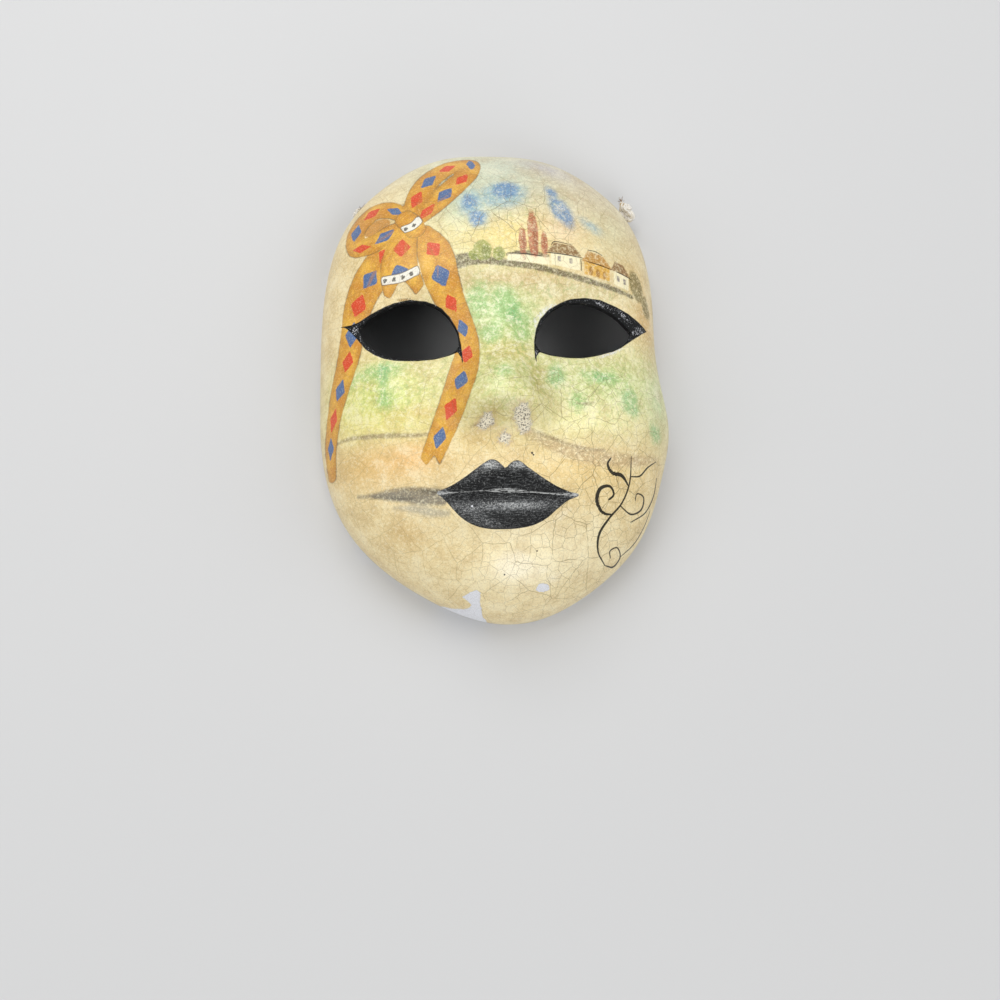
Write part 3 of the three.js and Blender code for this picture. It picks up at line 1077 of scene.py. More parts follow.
# Spots where the paint is rubbed thin, and two painted highlights laid the same way: the chin's glow and a
# glint on the right cheek's edge.
THIN_AND_HIGHLIT_SPOTS = (
    Blot(18.4, -81.6, 3.4, 1.3, 22),
    Blot(14.4, -78.2, 2.2, 1.2, 10),
    # Painted highlight: the middle of the chin's glow.
    Blot(3.4, -76, 7, 5),
    Blot(21, -58.4, 2.6, 1.1, 40),
    # Painted highlight: a glint on the right cheek's edge.
    Blot(63.6, -9.6, 1.2, 3.2),
    Blot(25.6, 63.4, 2.4, 1.2),
)
PITTED = (
    Patch((
        (-9.5, -26.8), (-8.4, -24.2), (-6.6, -22.6), (-4.6, -23.4), (-4.2, -25.6), (-6, -26.6), (-8, -27.6),
    )),
    Patch((
        (3.4, -24), (3.6, -21.5), (5.2, -19.8), (7.4, -20), (9, -22), (9.4, -25.4), (8.6, -28),
        (6.6, -28.6), (4.6, -27),
    )),
    Patch(((-1.8, -31.4), (-1.4, -29), (0.4, -28), (2, -29.2), (2, -31.6), (0.2, -32.8))),
)  # fmt: skip
SPECKS = ((-0.4, -79.6, 0.32), (11.8, -71.2, 0.3), (9.9, -36, 0.42), (10.4, -36.7, 0.34))
LIP_DOT = (-12.2, -54.8, 0.34)

FLOURISH = (
    (
        (
            (40, -77, 0.2), (36.4, -72, 0.34), (36.2, -65.5, 0.5), (40, -59.5, 0.42), (45.4, -53.6, 0.36),
            (48.6, -46, 0.32), (49.2, -36, 0.16),
        ),
    ),
    (
        (
            (40, -77, 0.2), (44.4, -77.6, 0.36), (47, -73.8, 0.3), (44.6, -70.2, 0.26), (41.6, -71.6, 0.26),
            (42.2, -74.2, 0.2),
        ),
        (
            (41.8, -58, 0.24), (37.6, -57.4, 0.56), (34.8, -53.4, 0.74), (36, -48.6, 0.7), (40, -47.6, 0.5),
            (41.8, -50.6, 0.4), (39.6, -52.6, 0.4),
        ),
        (
            (44.6, -54.6, 0.24), (50, -57.6, 0.32), (55, -55.4, 0.36), (55.6, -50.8, 0.32),
            (52.2, -49.8, 0.24), (51.6, -52.4, 0.2),
        ),
        ((48.8, -43.6, 0.2), (53.4, -43, 0.32), (57, -39.6, 0.28), (61.8, -36.6, 0.14)),
    ),
    (
        ((48.4, -47.4, 0.24), (45, -43.4, 0.7), (41, -42.6, 0.76), (39, -39.4, 0.44), (40.6, -37, 0.24)),
        ((50, -60.6, 0.2), (57.4, -56.4, 0.28), (61.6, -49.4, 0.28), (62.6, -42.6, 0.16)),
        ((47, -73.8, 0.16), (53.4, -68.6, 0.24), (58, -61.4, 0.2), (60.4, -55, 0.12)),
    ),
)  # fmt: skip
OUTLINES = (
    ((-15.6, 6, 0.5), (-15.1, 3.7, 0.42), (-14.8, 1.2, 0.32), (-14.5, -2.4, 0.1)),
    ((12.8, 5.4, 0.4), (12.6, 3.3, 0.36), (12.7, 1.2, 0.3), (12.8, -1.6, 0.1)),
    ((-61.2, 17.7, 0.1), (-58.5, 17.1, 0.34), (-55.4, 16.6, 0.7)),
    ((18.2, 42, 0.16), (25, 41.6, 0.2), (32.8, 40.8, 0.14)),
    ((34.4, 39.6, 0.14), (39, 38.9, 0.2), (44.6, 37.8, 0.14)),
    ((47, 37.4, 0.14), (50, 36.8, 0.2), (53.6, 36, 0.14)),
    ((31.8, 40.2, 0.1), (31.9, 38, 0.16), (31.8, 35.4, 0.1)),
    ((20.4, 45.4, 0.1), (21.6, 47, 0.18), (25, 46.8, 0.16), (29, 46.2, 0.1)),
    ((35, 44.8, 0.12), (38, 44.6, 0.18), (41, 43.4, 0.12)),
    ((3.4, 41.4, 0.1), (11, 41, 0.2), (16.6, 40.2, 0.12)),
)  # fmt: skip
INK_LAYERS = (*FLOURISH, OUTLINES)
INK_REACH = 1.3
CRACKLED = (
    Swelling(34, -52, 30, 34, 0.7),
    Swelling(6, 56, 26, 18, 0.7),
    Swelling(8, -80, 26, 16, 0.3),
    Swelling(30, -14, 26, 14, 0.35),
)
LEAST_CRACKLE = 0.42
CREASE = (
    (-30, -49.3, 0.5), (-23, -49.7, 0.5), (-18, -49.7, 0.12), (-7, -49.4, 0.14), (-3, -49.4, 0.7),
    (3, -49.6, 0.75), (7, -49.9, 0.3), (15, -50.6, 0.14), (20, -50.8, 0.3), (32, -51.2, 0.7),
)  # fmt: skip


@dataclass(frozen=True)
class Painting:
    """All that is painted on the face, worked out at given places."""

    seed: int = 11
    outline_steps: int = 60
    lozenge_scale: Pair = (0.88, 1.12)
    lozenge_skew: Pair = (-12, 12)
    corner_reach: Pair = (0.9, 1.1)
    ribbon_end: float = 3
    trim_steps: int = 12
    dot_margins: Pair = (1.4, 1)

    def washes(self, x: Array, y: Array) -> Array:
        """Lays the soft colours over each other.

        Args:
            x: Places across.
            y: Places along.

        Returns:
            A colour for each place.
        """
        colours = np.tile(np.array(tone(GROUND_COLOUR)), (len(x), 1))
        for wash in WASHES:
            cover = wash.cover(x, y)[:, None]
            colours = colours * (1 - cover) + np.array(tone(wash.colour)) * cover
        return colours

    def lozenges(self) -> dict[str, list[Patch]]:
        """Sets out the lozenges along the ribbons, in turns of two colours.

        Returns:
            The lozenges, by the names of their level and colour.
        """
        chance = np.random.default_rng(self.seed)
        placed: dict[str, list[Patch]] = {}
        count = 0
        for ribbon in RIBBONS:
            for along in np.arange(ribbon.first, ribbon.length() - self.ribbon_end, ribbon.spacing):
                middle, course, width = ribbon.spot(along)
                across = np.array([-course[1], course[0]])
                scale = chance.uniform(*self.lozenge_scale)
                skew = math.radians(chance.uniform(*self.lozenge_skew))
                corners = []
                for quarter in range(4):
                    turn = quarter * math.pi / 2 + skew
                    reach = scale * chance.uniform(*self.corner_reach)
                    along_part = math.cos(turn) * ribbon.half_long * reach
                    across_part = math.sin(turn) * ribbon.fullness * width * reach
                    corners.append(middle + course * along_part + across * across_part)
                name = f"{ribbon.level.value}_{('red', 'blue')[count % 2]}"
                placed.setdefault(name, []).append(Patch(corners))
                count += 1
        return placed

    def bow(self, x: Array, y: Array) -> dict[str, Array]:
        """Measures the painted bow, level by level.

        Args:
            x: Places across.
            y: Places along.

        Returns:
            The distances to the ribbons and to their lozenges, by the layer's name.
        """
        notches = nearest_of(TAIL_NOTCHES, x, y)
        layers = {name: nearest_of(shapes, x, y) for name, shapes in self.lozenges().items()}
        for level in Level:
            ribbons = nearest_of([ribbon for ribbon in RIBBONS if ribbon.level is level], x, y)
            layers[f"{level.value}_ribbon"] = np.maximum(ribbons, -notches)
        layers["loop_insides"] = nearest_of(LOOP_INSIDES, x, y)
        layers["folds"] = nearest_of(FOLDS, x, y)
        return layers

    def trims(self, x: Array, y: Array) -> tuple[Array, Array]:
        """Measures the white trims across the bow and their dots.

        Args:
            x: Places across.
            y: Places along.

        Returns:
            The distances to the trims and to the dots.
        """
        bands, dots = [], []
        for number, along in TRIMS:
            middle, course, width = RIBBONS[number].spot(along)
            across = np.array([-course[1], course[0]])
            ends = [middle - across * width, middle + course * TRIM_BEND, middle + across * width]
            line = smooth_path(ends, self.trim_steps)
            band = stroke_distance(x, y, np.column_stack([line, np.full(len(line), TRIM_HALF_WIDTH)]))
            bands.append(np.maximum(band, RIBBONS[number].distance(x, y)))
            for share in np.arange(-width + self.dot_margins[0], width - self.dot_margins[1], DOT_SPACING):
                spot = middle + across * share + course * TRIM_BEND * (1 - (share / width) ** 2)
                dots.append(np.hypot(x - spot[0], y - spot[1]) - DOT_RADIUS)
        return np.minimum.reduce(bands), np.minimum.reduce(dots)

    def ink(self, x: Array, y: Array, strokes: Sequence[tuple[Triple, ...]]) -> tuple[Array, Array]:
        """Measures pen strokes that keep clear of each other.

        Args:
            x: Places across.
            y: Places along.
            strokes: The strokes, as points with their half widths.

        Returns:
            The distance to the nearest stroke with the sign of its side, and its half width there, which is
            under 0 away from all strokes.
        """
        nearest = np.full(x.shape, np.inf)
        width = np.zeros(x.shape)
        for stroke in strokes:
            line = smooth_path(stroke, 10 * len(stroke), centripetal=True)
            side, half = line_sides(x, y, line[:, :2], line[:, 2])
            closer = np.abs(side) < np.abs(nearest)
            nearest = np.where(closer, side, nearest)
            width = np.where(closer, half, width)
        return nearest, np.where(np.abs(nearest) > INK_REACH, -1.0, width)

    def layers(self, x: Array, y: Array) -> dict[str, Array]:
        """Works out every layer that the finish reads.

        Args:
            x: Places across.
            y: Places along.

        Returns:
            A number for each place, by the layer's name.
        """
        trim, dots = self.trims(x, y)
        eyes = eye_distance(x, y, self.outline_steps)
        crease_x, crease_y, crease_width = np.array(CREASE).T
        mouth = smooth_path(MOUTH + MOUTH[:1], 5 * len(MOUTH), mirrored_ends=False)[:-1]
        layers = {stain.name: stain.distance(x, y) for stain in STAINS} | self.bow(x, y)
        for number, strokes in enumerate(INK_LAYERS):
            layers[f"ink_side_{number}"], layers[f"ink_width_{number}"] = self.ink(x, y, strokes)
        return {
            **layers,
            "trim": trim,
            "dots": dots,
            "eye_paint": np.minimum(nearest_of(EYE_PAINT, x, y), eyes - EYE_LINE),
            "eye_wear": nearest_of(EYE_WEAR, x, y),
            "eye_bare": nearest_of(EYE_BARE, x, y),
            "lips": polygon_distance(x, y, mouth),
            "crease": y - np.interp(x, crease_x, crease_y),
            "crease_width": np.interp(x, crease_x, crease_width),
            "sheen": total_height(LIP_SHEEN, x, y),
            "chips": nearest_of(CHIPS, x, y),
            "pitted": nearest_of(PITTED, x, y),
            "thin_and_highlit_spots": nearest_of(THIN_AND_HIGHLIT_SPOTS, x, y),
            "crackle": LEAST_CRACKLE + total_height(CRACKLED, x, y),
            "mottled": np.minimum(total_height(MOTTLED, x, y), 1),
        }


# Finishes


@dataclass
class Coats:
    """A colour that coats of paint are laid over, and the noise that frays and wears them."""

    sheet: NodeSheet
    colour: Paint
    clouds: Value
    patches: Value
    flecks: Value
    wear: Value
    grain: Value
    broad: Value
    fray: Value
    edge: Value

    def lay(self, cover: Term, paint: Paint) -> None:
        """Lays a coat over the colour as far as it covers."""
        self.colour = self.sheet.mix(cover, self.colour, paint)

    def inside(self, name: str, wander: float, low: float, high: float) -> Value:
        """Fades a shape in between two distances from its straying edge, to 1 inside it."""
        return (self.sheet.reading(name) + self.edge * wander).step(low, high)

    def mark(self, spot: Triple) -> Value:
        """Tells where a small round mark lies.

        Args:
            spot: Its place on the face and its radius.

        Returns:
            1 on the mark and 0 beside it.
        """
        x, y, radius = spot
        flat = self.sheet.vector("MULTIPLY", self.sheet.place, (1, 1, 0))
        gap = self.sheet.node("ShaderNodeVectorMath", {"operation": "DISTANCE"}, {0: flat, 1: (x, y, 0)})
        return (Value(self.sheet, gap.outputs["Value"]) + self.fray * 0.3).step(radius + 0.1, radius - 0.1)


@dataclass(frozen=True)
class CrackNet:
    """One net of the crackle: its meshes, how its lines wander, where they fade and how clearly they show."""

    mesh: float
    wander: float
    spread: float
    line: Pair
    strength: float
    shift: float = 0.0


CRACK_NETS = (
    CrackNet(2.1, 0.35, 1.5, (0.14, 0.04), 0.3),
    CrackNet(4.4, 0.55, 3.0, (0.14, 0.04), 0.7, shift=7),
    CrackNet(13.0, 1.6, 8.0, (0.17, 0.05), 0.9, shift=31),
)


@dataclass(frozen=True)
class PaintedSkin:
    """The outside of the shell: thin paint on a white ground under a crackled satin varnish."""

    ochre: str = "e7b345"
    deep_ochre: str = "cc8a30"
    light_ochre: str = "f1c766"
    shaded_ochre: str = "a8702c"
    red: str = "d8442c"
    light_red: str = "e36a4a"
    blue: str = "43699c"
    light_blue: str = "6d91bb"
    outline: str = "5d4a35"
    trim: str = "ece8da"
    black: str = "101112"
    lip_black: str = "0b0c0d"
    sheen_grey: str = "8f9192"
    dust_and_sheen: str = "c9cac8"
    white_ground: str = "e3e4e9"
    ground_shade: str = "c3c2c4"
    warm_ground: str = "efe6cd"
    pit: str = "4a4238"
    pit_rim: str = "b98f62"
    crack: str = "7d6a43"
    stain: str = "b08d54"
    pale: str = "fcf5d6"
    light_mottle: str = "faf8d8"
    green_mottle: str = "86ab5c"
    rubbed_thin_and_highlight: str = "fbf3dc"
    light_grain: str = "fff3c4"
    dark_grain: str = "7c6838"
    satin: float = 0.38
    dull: float = 0.62
    specular: float = 0.2
    coat: float = 0.22
    coat_lost: float = 0.2
    wave_depth: float = 0.12
    brush_depth: float = 0.035
    crack_depth: float = 0.03
    chip_depth: float = 0.2

    def washes(self, sheet: NodeSheet) -> Coats:
        """Starts with the soft washes and adds the noise that all coats share.

        Args:
            sheet: The finish's sheet of nodes.

        Returns:
            The coats so far, which are the washes alone.
        """
        broad = (sheet.noise(3.4, 3, 0.55) - 0.5) * 1.3
        fray = (sheet.noise(0.7, 2, 0.6, shift=9) - 0.5) * 0.7
        return Coats(
            sheet,
            sheet.attribute("washes").outputs["Color"],
            clouds=sheet.noise(9, 4, 0.6, shift=14),
            patches=sheet.noise(2.2, 4, 0.7, shift=33),
            flecks=sheet.noise(1.25, 3, 0.6, shift=5),
            wear=sheet.noise(0.6, 3, 0.75, shift=52),
            grain=sheet.noise(0.5, 2, 0.65, shift=3),
            broad=broad,
            fray=fray,
            edge=broad + fray,
        )

    def landscape(self, coats: Coats) -> None:
        """Lays the stains over the washes, with old varnish below and mottled greens above.

        Args:
            coats: The coats so far.
        """
        clouds, flecks, patches = coats.clouds, coats.flecks, coats.patches
        coats.lay(clouds.step(0.42, 0.7) * 0.3, self.stain)
        coats.lay(clouds.step(0.5, 0.3) * 0.3, self.pale)
        for stain in STAINS:
            body = 1 - (flecks * 0.6 + coats.grain * 0.4).step(0.44, 0.62) * stain.thin
            cover = coats.inside(stain.name, stain.wander, stain.softness, -stain.softness)
            coats.lay(cover * body * stain.strength, stain.colour)
        coats.lay(flecks.step(0.5, 0.68) * 0.3, self.pale)
        coats.lay(flecks.step(0.48, 0.3) * 0.2, self.stain)
        mottled = coats.sheet.reading("mottled")
        coats.lay(patches.step(0.5, 0.64) * mottled * 0.6, self.light_mottle)
        coats.lay(patches.step(0.5, 0.36) * mottled * 0.45, self.green_mottle)

    def bow(self, coats: Coats) -> None:
        """Lays the painted bow, level by level.

        Args:
            coats: The coats so far.
        """
        sheet, clouds, flecks = coats.sheet, coats.clouds, coats.flecks
        cloth = sheet.mix((clouds + flecks * 0.6).step(0.62, 0.95), self.ochre, self.deep_ochre)
        cloth = sheet.mix(flecks.step(0.52, 0.7) * 0.35, cloth, self.light_ochre)
        red = sheet.mix(flecks.step(0.48, 0.7) * 0.35, self.red, self.light_red)
        blue = sheet.mix(flecks.step(0.48, 0.7) * 0.4, self.blue, self.light_blue)
        shaded = sheet.mix(flecks.step(0.3, 0.7) * 0.5, self.deep_ochre, self.shaded_ochre)
        for level in Level:
            edge = sheet.reading(f"{level.value}_ribbon") + coats.edge * 0.4
            if level is Level.LOOPS:
                coats.lay(coats.inside("loop_insides", 0.4, 0.3, -0.3) * 0.85, shaded)
            if level is Level.KNOT:
                coats.lay(coats.inside("folds", 0.4, 0.3, -0.2) * 0.4, shaded)
            rounded = sheet.mix(edge.step(-2.4, -0.1) * 0.4, cloth, self.shaded_ochre)
            coats.lay(edge.step(0.12, -0.12) * 0.97, rounded)
            if level is not Level.KNOT:
                for name, paint in (("red", red), ("blue", blue)):
                    lozenge = coats.inside(f"{level.value}_{name}", 0.5, 0.12, -0.12)
                    coats.lay(lozenge * edge.step(0, -0.3) * 0.96, paint)
            pencil = abs(edge - 0.05).step(0.36, 0.12) * clouds.step(0.36, 0.56) * coats.grain.step(0.3, 0.6)
            coats.lay(pencil * 0.75, self.outline)
        trim = sheet.reading("trim") + coats.edge * 0.3
        coats.lay(trim.step(0.1, -0.1), self.trim)
        coats.lay(abs(trim).step(0.3, 0.1) * 0.7, self.outline)
        coats.lay(coats.inside("dots", 0.2, 0.12, -0.12) * trim.step(0, -0.2) * 0.85, self.black)

    def fading(self, coats: Coats) -> None:
        """Thins the paint in spots, paints pale spots of highlight on the chin and the right cheek's edge,
        and gives it its fine grain.

        Args:
            coats: The coats so far.
        """
        grain = coats.grain
        # Pale spots: paint rubbed thin, and painted highlights on the chin and the right cheek's edge.
        thin = coats.inside("thin_and_highlit_spots", 2.0, 1.2, -1.4)
        coats.lay(thin * grain.step(0.36, 0.56) * 0.55, self.rubbed_thin_and_highlight)
        coats.lay(grain.step(0.52, 0.68) * 0.2, self.light_grain)
        coats.lay(grain.step(0.48, 0.32) * 0.2, self.dark_grain)

    def crackle(self, coats: Coats) -> Value:
        """Draws the crackle from its nets, each of them broken off in places.

        Args:
            coats: The coats so far.

        Returns:
            1 in a crack and 0 beside it.
        """
        sheet = coats.sheet
        skin = sheet.attribute("unrolled").outputs["Vector"]
        kept = (
            coats.flecks.step(0.4, 0.56),
            sheet.noise(9, 2, 0.5, shift=21).step(0.3, 0.5),
            coats.clouds.step(0.34, 0.5),
        )
        lines = []
        for net, part in zip(CRACK_NETS, kept):
            gap = sheet.cracks(skin, net.mesh, net.wander, net.spread, net.shift)
            lines.append(gap.step(*net.line) * part * net.strength)
        return (reduce(Value.most, lines) * sheet.reading("crackle")).least(1.0)

    def ink(self, coats: Coats) -> Value:
        """Tells where the pen lines lie, a little frayed and worn.

        Args:
            coats: The coats so far.

        Returns:
            1 on a line and 0 beside it.
        """
        sheet = coats.sheet
        gaps = [
            abs(sheet.reading(f"ink_side_{number}")) - sheet.reading(f"ink_width_{number}")
            for number in range(len(INK_LAYERS))
        ]
        return (reduce(Value.least, gaps) + coats.fray * 0.3).step(0.1, -0.1) * coats.grain.step(0.14, 0.34)

    def lips(self, coats: Coats) -> Value:
        """Lays the black of the lips, with grey streaks of sheen as a painted highlight, dust specks that
        grow thicker in the sheen, the pale crease and one light dot.

        Args:
            coats: The coats so far.

        Returns:
            1 on the lips and 0 beside them.
        """
        sheet = coats.sheet
        hairs = sheet.noise(0.42, 3, 0.75, stretch=(6, 1, 1), shift=40)
        sheen = sheet.reading("sheen")
        # Painted highlight: grey streaks of sheen, and light dust specks that grow thicker where the sheen
        # is.
        sheen_streaks = hairs.step(0.42, 0.66) * sheen * 0.54 + sheen * 0.2 + hairs.step(0.5, 0.68) * 0.3
        dust_and_sheen = (sheet.noise(0.62, 3, 0.8, shift=44) + sheen * 0.09).step(0.56, 0.68) * (sheen * 0.4 + 0.26)
        crease = abs(sheet.reading("crease") + coats.broad * 0.16) - sheet.reading("crease_width")
        crease = crease.step(0.14, -0.1) * hairs.step(0.4, 0.56)
        paint = sheet.mix(sheen_streaks.least(1.0), self.lip_black, self.sheen_grey)
        paint = sheet.mix(dust_and_sheen.most(crease * 0.8).least(1.0), paint, self.dust_and_sheen)
        paint = sheet.mix(coats.mark(LIP_DOT), paint, self.white_ground)
        lips = coats.inside("lips", 0.16, 0.08, -0.12)
        coats.lay(lips, paint)
        return lips

    def eye_rims(self, coats: Coats) -> Value:
        """Lays the black rims of the eyes, with the ground bare beside them and worn spots in them.

        Args:
            coats: The coats so far.

        Returns:
            1 on the rims and 0 beside them.
        """
        bare = coats.inside("eye_bare", 1.4, 0.5, -0.4) * coats.wear.step(0.45, 0.53)
        coats.lay(bare * 0.85, self.white_ground)
        edge = coats.sheet.reading("eye_paint") + coats.edge * 0.22
        rims = edge.step(0.12, -0.12)
        coats.lay(rims, self.black)
        worn = (coats.wear + coats.inside("eye_wear", 1, 0.6, -0.5) * 0.1).step(0.61, 0.68)
        coats.lay(worn * edge.step(0.5, 0.1) * 0.6, self.white_ground)
        return rims

    def bare_ground(self, coats: Coats) -> Value:
        """Wears the paint down to the white ground along the rim, in the chips and in the pitted spots.

        Args:
            coats: The coats so far.

        Returns:
            1 where the ground is bare and 0 where it is painted.
        """
        sheet, grain = coats.sheet, coats.grain
        height = Value(sheet, sheet.node("ShaderNodeSeparateXYZ", {}, {0: sheet.place}).outputs[2])
        rubbed = (height + coats.edge * 2.4).step(2.6, 0.8) * 0.75
        pitted = sheet.reading("pitted") + coats.edge * 1.6 + (coats.patches - 0.5) * 4 + (grain - 0.5) * 2
        pitted = pitted.step(0.7, -0.9)
        pits = sheet.noise(0.62, 2, 0.7, shift=60).step(0.49, 0.62) * pitted * 0.85
        for spot in SPECKS:
            pits = pits.most(coats.mark(spot))
        bare = coats.inside("chips", 1.1, 0.1, -0.08).most(pitted).most(rubbed)
        ground = sheet.mix(pitted, self.white_ground, self.warm_ground)
        ground = sheet.mix(grain.step(0.44, 0.6) * (1 - pitted * 0.7) * 0.5, ground, self.ground_shade)
        coats.lay(coats.inside("pitted", 2, 2.4, 0) * coats.flecks.step(0.4, 0.6) * 0.45, self.pit_rim)
        coats.lay(bare, ground)
        coats.lay(pits, self.pit)
        return bare

    def material(self) -> bpy.types.Material:
        """Builds the finish from the layers that the shell holds.

        Returns:
            The material.
        """
        sheet = NodeSheet("crackled_painting")
        coats = self.washes(sheet)
        self.landscape(coats)
        self.bow(coats)
        self.fading(coats)
        cracks = self.crackle(coats)
        coats.lay(cracks * 0.8, self.crack)
        coats.lay(self.ink(coats) * 0.96, self.black)
        lips = self.lips(coats)
        dull = lips.most(self.eye_rims(coats))
        bare = self.bare_ground(coats)
        matt = bare.most(cracks * 0.5)
        waves = sheet.bump(sheet.noise(6, 2, 0.5, shift=70), self.wave_depth)
        brushed = sheet.bump(coats.flecks * 0.5 + coats.grain * 0.16, self.brush_depth, waves)
        grooves = sheet.bump(1 - cracks, self.crack_depth, brushed)
        return sheet.surface(
            Base_Color=coats.colour,
            Roughness=(coats.flecks * 0.12 + self.satin + matt * 0.4).most(dull * self.dull),
            Normal=sheet.bump(1 - bare, self.chip_depth, grooves),
            Specular_IOR_Level=self.specular,
            Coat_Weight=self.coat - matt.most(dull) * self.coat_lost,
            Coat_Roughness=0.2,
        )


@dataclass(frozen=True)
class HoleEdge:
    """The cut edge of an eye hole: black paint, worn to the white ground in spots."""

    black: str = "0c0c0c"
    white: str = "c9c6bd"

    def material(self) -> bpy.types.Material:
        """Builds the finish.

        Returns:
            The new material.
        """
        sheet = NodeSheet("hole_edge")
        spots = sheet.noise(0.9, 3, 0.7, shift=80).step(0.6, 0.66)
        worn = spots * sheet.noise(6, 1, 0.5, shift=84).step(0.5, 0.62)
        colour = sheet.mix(worn * 0.85, self.black, self.white)
        normal = sheet.bump(sheet.noise(0.8, 3, 0.6, shift=83), 0.08)
        return sheet.surface(Base_Color=colour, Roughness=0.45 + worn * 0.4, Normal=normal)


@dataclass(frozen=True)
class Lining:
    """The hollow back: layered paper under brushed matt black. The black is a guessed finish, kept so dark
    that it also stands in for the shade inside the hollow.
    """

    black: str = "080807"
    paper: str = "1c1917"

    def material(self) -> bpy.types.Material:
        """Builds the finish.

        Returns:
            The new material.
        """
        sheet = NodeSheet("black_lining_and_shade")
        strokes = sheet.noise(1.6, 4, 0.6, stretch=(1, 9, 3), shift=90)
        laps = sheet.cracks(sheet.place, 17, 2.0, 9.0, shift=94)
        # Painted shade in part: the near-black stands in for the shade inside the hollow as well as for its
        # paint.
        colour = sheet.mix(strokes.step(0.42, 0.68), self.black, self.paper)
        waves = sheet.bump(laps.step(0.0, 2.0), 0.25)
        normal = sheet.bump(strokes, 0.1, waves)
        return sheet.surface(Base_Color=colour, Roughness=0.78 + strokes * 0.15, Normal=normal)


@dataclass(frozen=True)
class RawRim:
    """The flat rim: trimmed paper layers with some of the white ground."""

    paper: str = "b7a98c"
    ground: str = "dcd6c8"
    dirt: str = "8a7a5c"

    def material(self) -> bpy.types.Material:
        """Builds the finish.

        Returns:
            The new material.
        """
        sheet = NodeSheet("trimmed_rim")
        layers = sheet.noise(0.6, 3, 0.6, shift=100)
        patches = sheet.noise(7, 3, 0.6, shift=103)
        colour = sheet.mix(patches.step(0.4, 0.6), self.paper, self.ground)
        colour = sheet.mix(layers.step(0.55, 0.7) * 0.4, colour, self.dirt)
        return sheet.surface(Base_Color=colour, Roughness=0.8 + layers * 0.1, Normal=sheet.bump(layers, 0.1))


@dataclass(frozen=True)
class Yarn:
    """A spun strand whose fibres turn round it."""

    name: str
    colour: str
    groove_shade_and_grime: str
    roughness: float
    metallic: float = 0.0
    fibres: float = 5.0
    lay: float = 3.0

    def material(self) -> bpy.types.Material:
        """Builds the finish on the strand's own map, round and along it.

        Returns:
            The new material.
        """
        sheet = NodeSheet(self.name)
        strand = sheet.node("ShaderNodeUVMap", {"uv_map": STRAND_MAP}, {}).outputs[0]
        parts = sheet.node("ShaderNodeSeparateXYZ", {}, {0: strand})
        round_it, along = (Value(sheet, parts.outputs[k]) for k in (0, 1))
        wobble = sheet.noise(0.8, 2, 0.6, shift=110)
        ridges = sheet.maths("SINE", (round_it * self.fibres + along / self.lay + wobble * 0.5) * math.tau)
        fuzz = sheet.noise(0.16, 2, 0.7, shift=113)
        height = ridges * 0.3 + fuzz * 0.7
        grime = sheet.noise(3, 3, 0.6, shift=117).step(0.45, 0.75)
        # Painted shade: the grooves between the fibre ridges are darker, in step with the bump; the same
        # darker colour also serves as grime in patches below.
        colour = sheet.mix((ridges * -0.5 + 0.5) * 0.35, self.colour, self.groove_shade_and_grime)
        colour = sheet.mix(grime * 0.35, colour, self.groove_shade_and_grime)
        return sheet.surface(
            Base_Color=colour,
            Roughness=self.roughness + fuzz * 0.1,
            Metallic=self.metallic,
            Normal=sheet.bump(height, 0.12),
        )


# Modelling steps


class Part(Enum):
    """The parts of a mesh that edit mode selects."""

    POINTS = 0
    EDGES = 1
    FACES = 2


def deselect() -> None:
    """Deselects every object."""
    bpy.ops.object.select_all(action="DESELECT")


def choose(*pieces: Piece) -> None:
    """Selects only these pieces.

    Args:
        pieces: The pieces, of which the first becomes the active one.
    """
    deselect()
    for piece in pieces:
        piece.select_set(True)
    bpy.context.view_layer.objects.active = pieces[0]


def name_new(name: str) -> Piece:
    """Names the primitive that was just added, and its mesh.

    Args:
        name: The name for both.

    Returns:
        The named object.
    """
    piece = bpy.context.object
    piece.name = name
    piece.data.name = name
    return piece


def edit(piece: Piece, part: Part, chosen: Array) -> None:
    """Enters edit mode with some of a piece's parts selected.

    Args:
        piece: The piece, which is the active one.
        part: Whether points, edges or faces are selected.
        chosen: Which of them, as a truth value for each.
    """
    bpy.context.tool_settings.mesh_select_mode = tuple(kind is part for kind in Part)
    mesh = piece.data
    for kind, elements in zip(Part, (mesh.vertices, mesh.edges, mesh.polygons)):
        elements.foreach_set("select", chosen if kind is part else np.zeros(len(elements), bool))
    bpy.ops.object.mode_set(mode="EDIT")


def leave_edit() -> None:
    """Goes back to object mode."""
    bpy.ops.object.mode_set(mode="OBJECT")


def read_points(piece: Piece) -> Array:
    """Reads the places of a piece's points.

    Args:
        piece: The piece.

    Returns:
        One row of three for each point, in metres.
    """
    places = np.zeros(len(piece.data.vertices) * 3, np.float32)
    piece.data.vertices.foreach_get("co", places)
    return places.reshape(-1, 3).astype(float)


def write_points(piece: Piece, places: Array) -> None:
    """Moves a piece's points to new places."""
    piece.data.vertices.foreach_set("co", places.astype(np.float32).ravel())
    piece.data.update()


def edge_ends(piece: Piece) -> Array:
    """Reads which two points each edge joins.

    Args:
        piece: The piece.

    Returns:
        One row of two point numbers for each edge.
    """
    ends = np.zeros(len(piece.data.edges) * 2, np.int32)
    piece.data.edges.foreach_get("vertices", ends)
    return ends.reshape(-1, 2)


def apply_modifiers(piece: Piece) -> None:
    """Applies all modifiers of a piece in their order.

    Args:
        piece: The piece.
    """
    choose(piece)
    for modifier in list(piece.modifiers):
        bpy.ops.object.modifier_apply(modifier=modifier.name)


def install(piece: Piece, node: str) -> None:
    """Puts a finished piece on the body in the place of its solid.

    Args:
        piece: The piece.
        node: The solid that it stands for.
    """
    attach(piece, "root")
    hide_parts(node)
    LOG.info("%s: %d points, %d faces", piece.name, len(piece.data.vertices), len(piece.data.polygons))


# The cord's holes


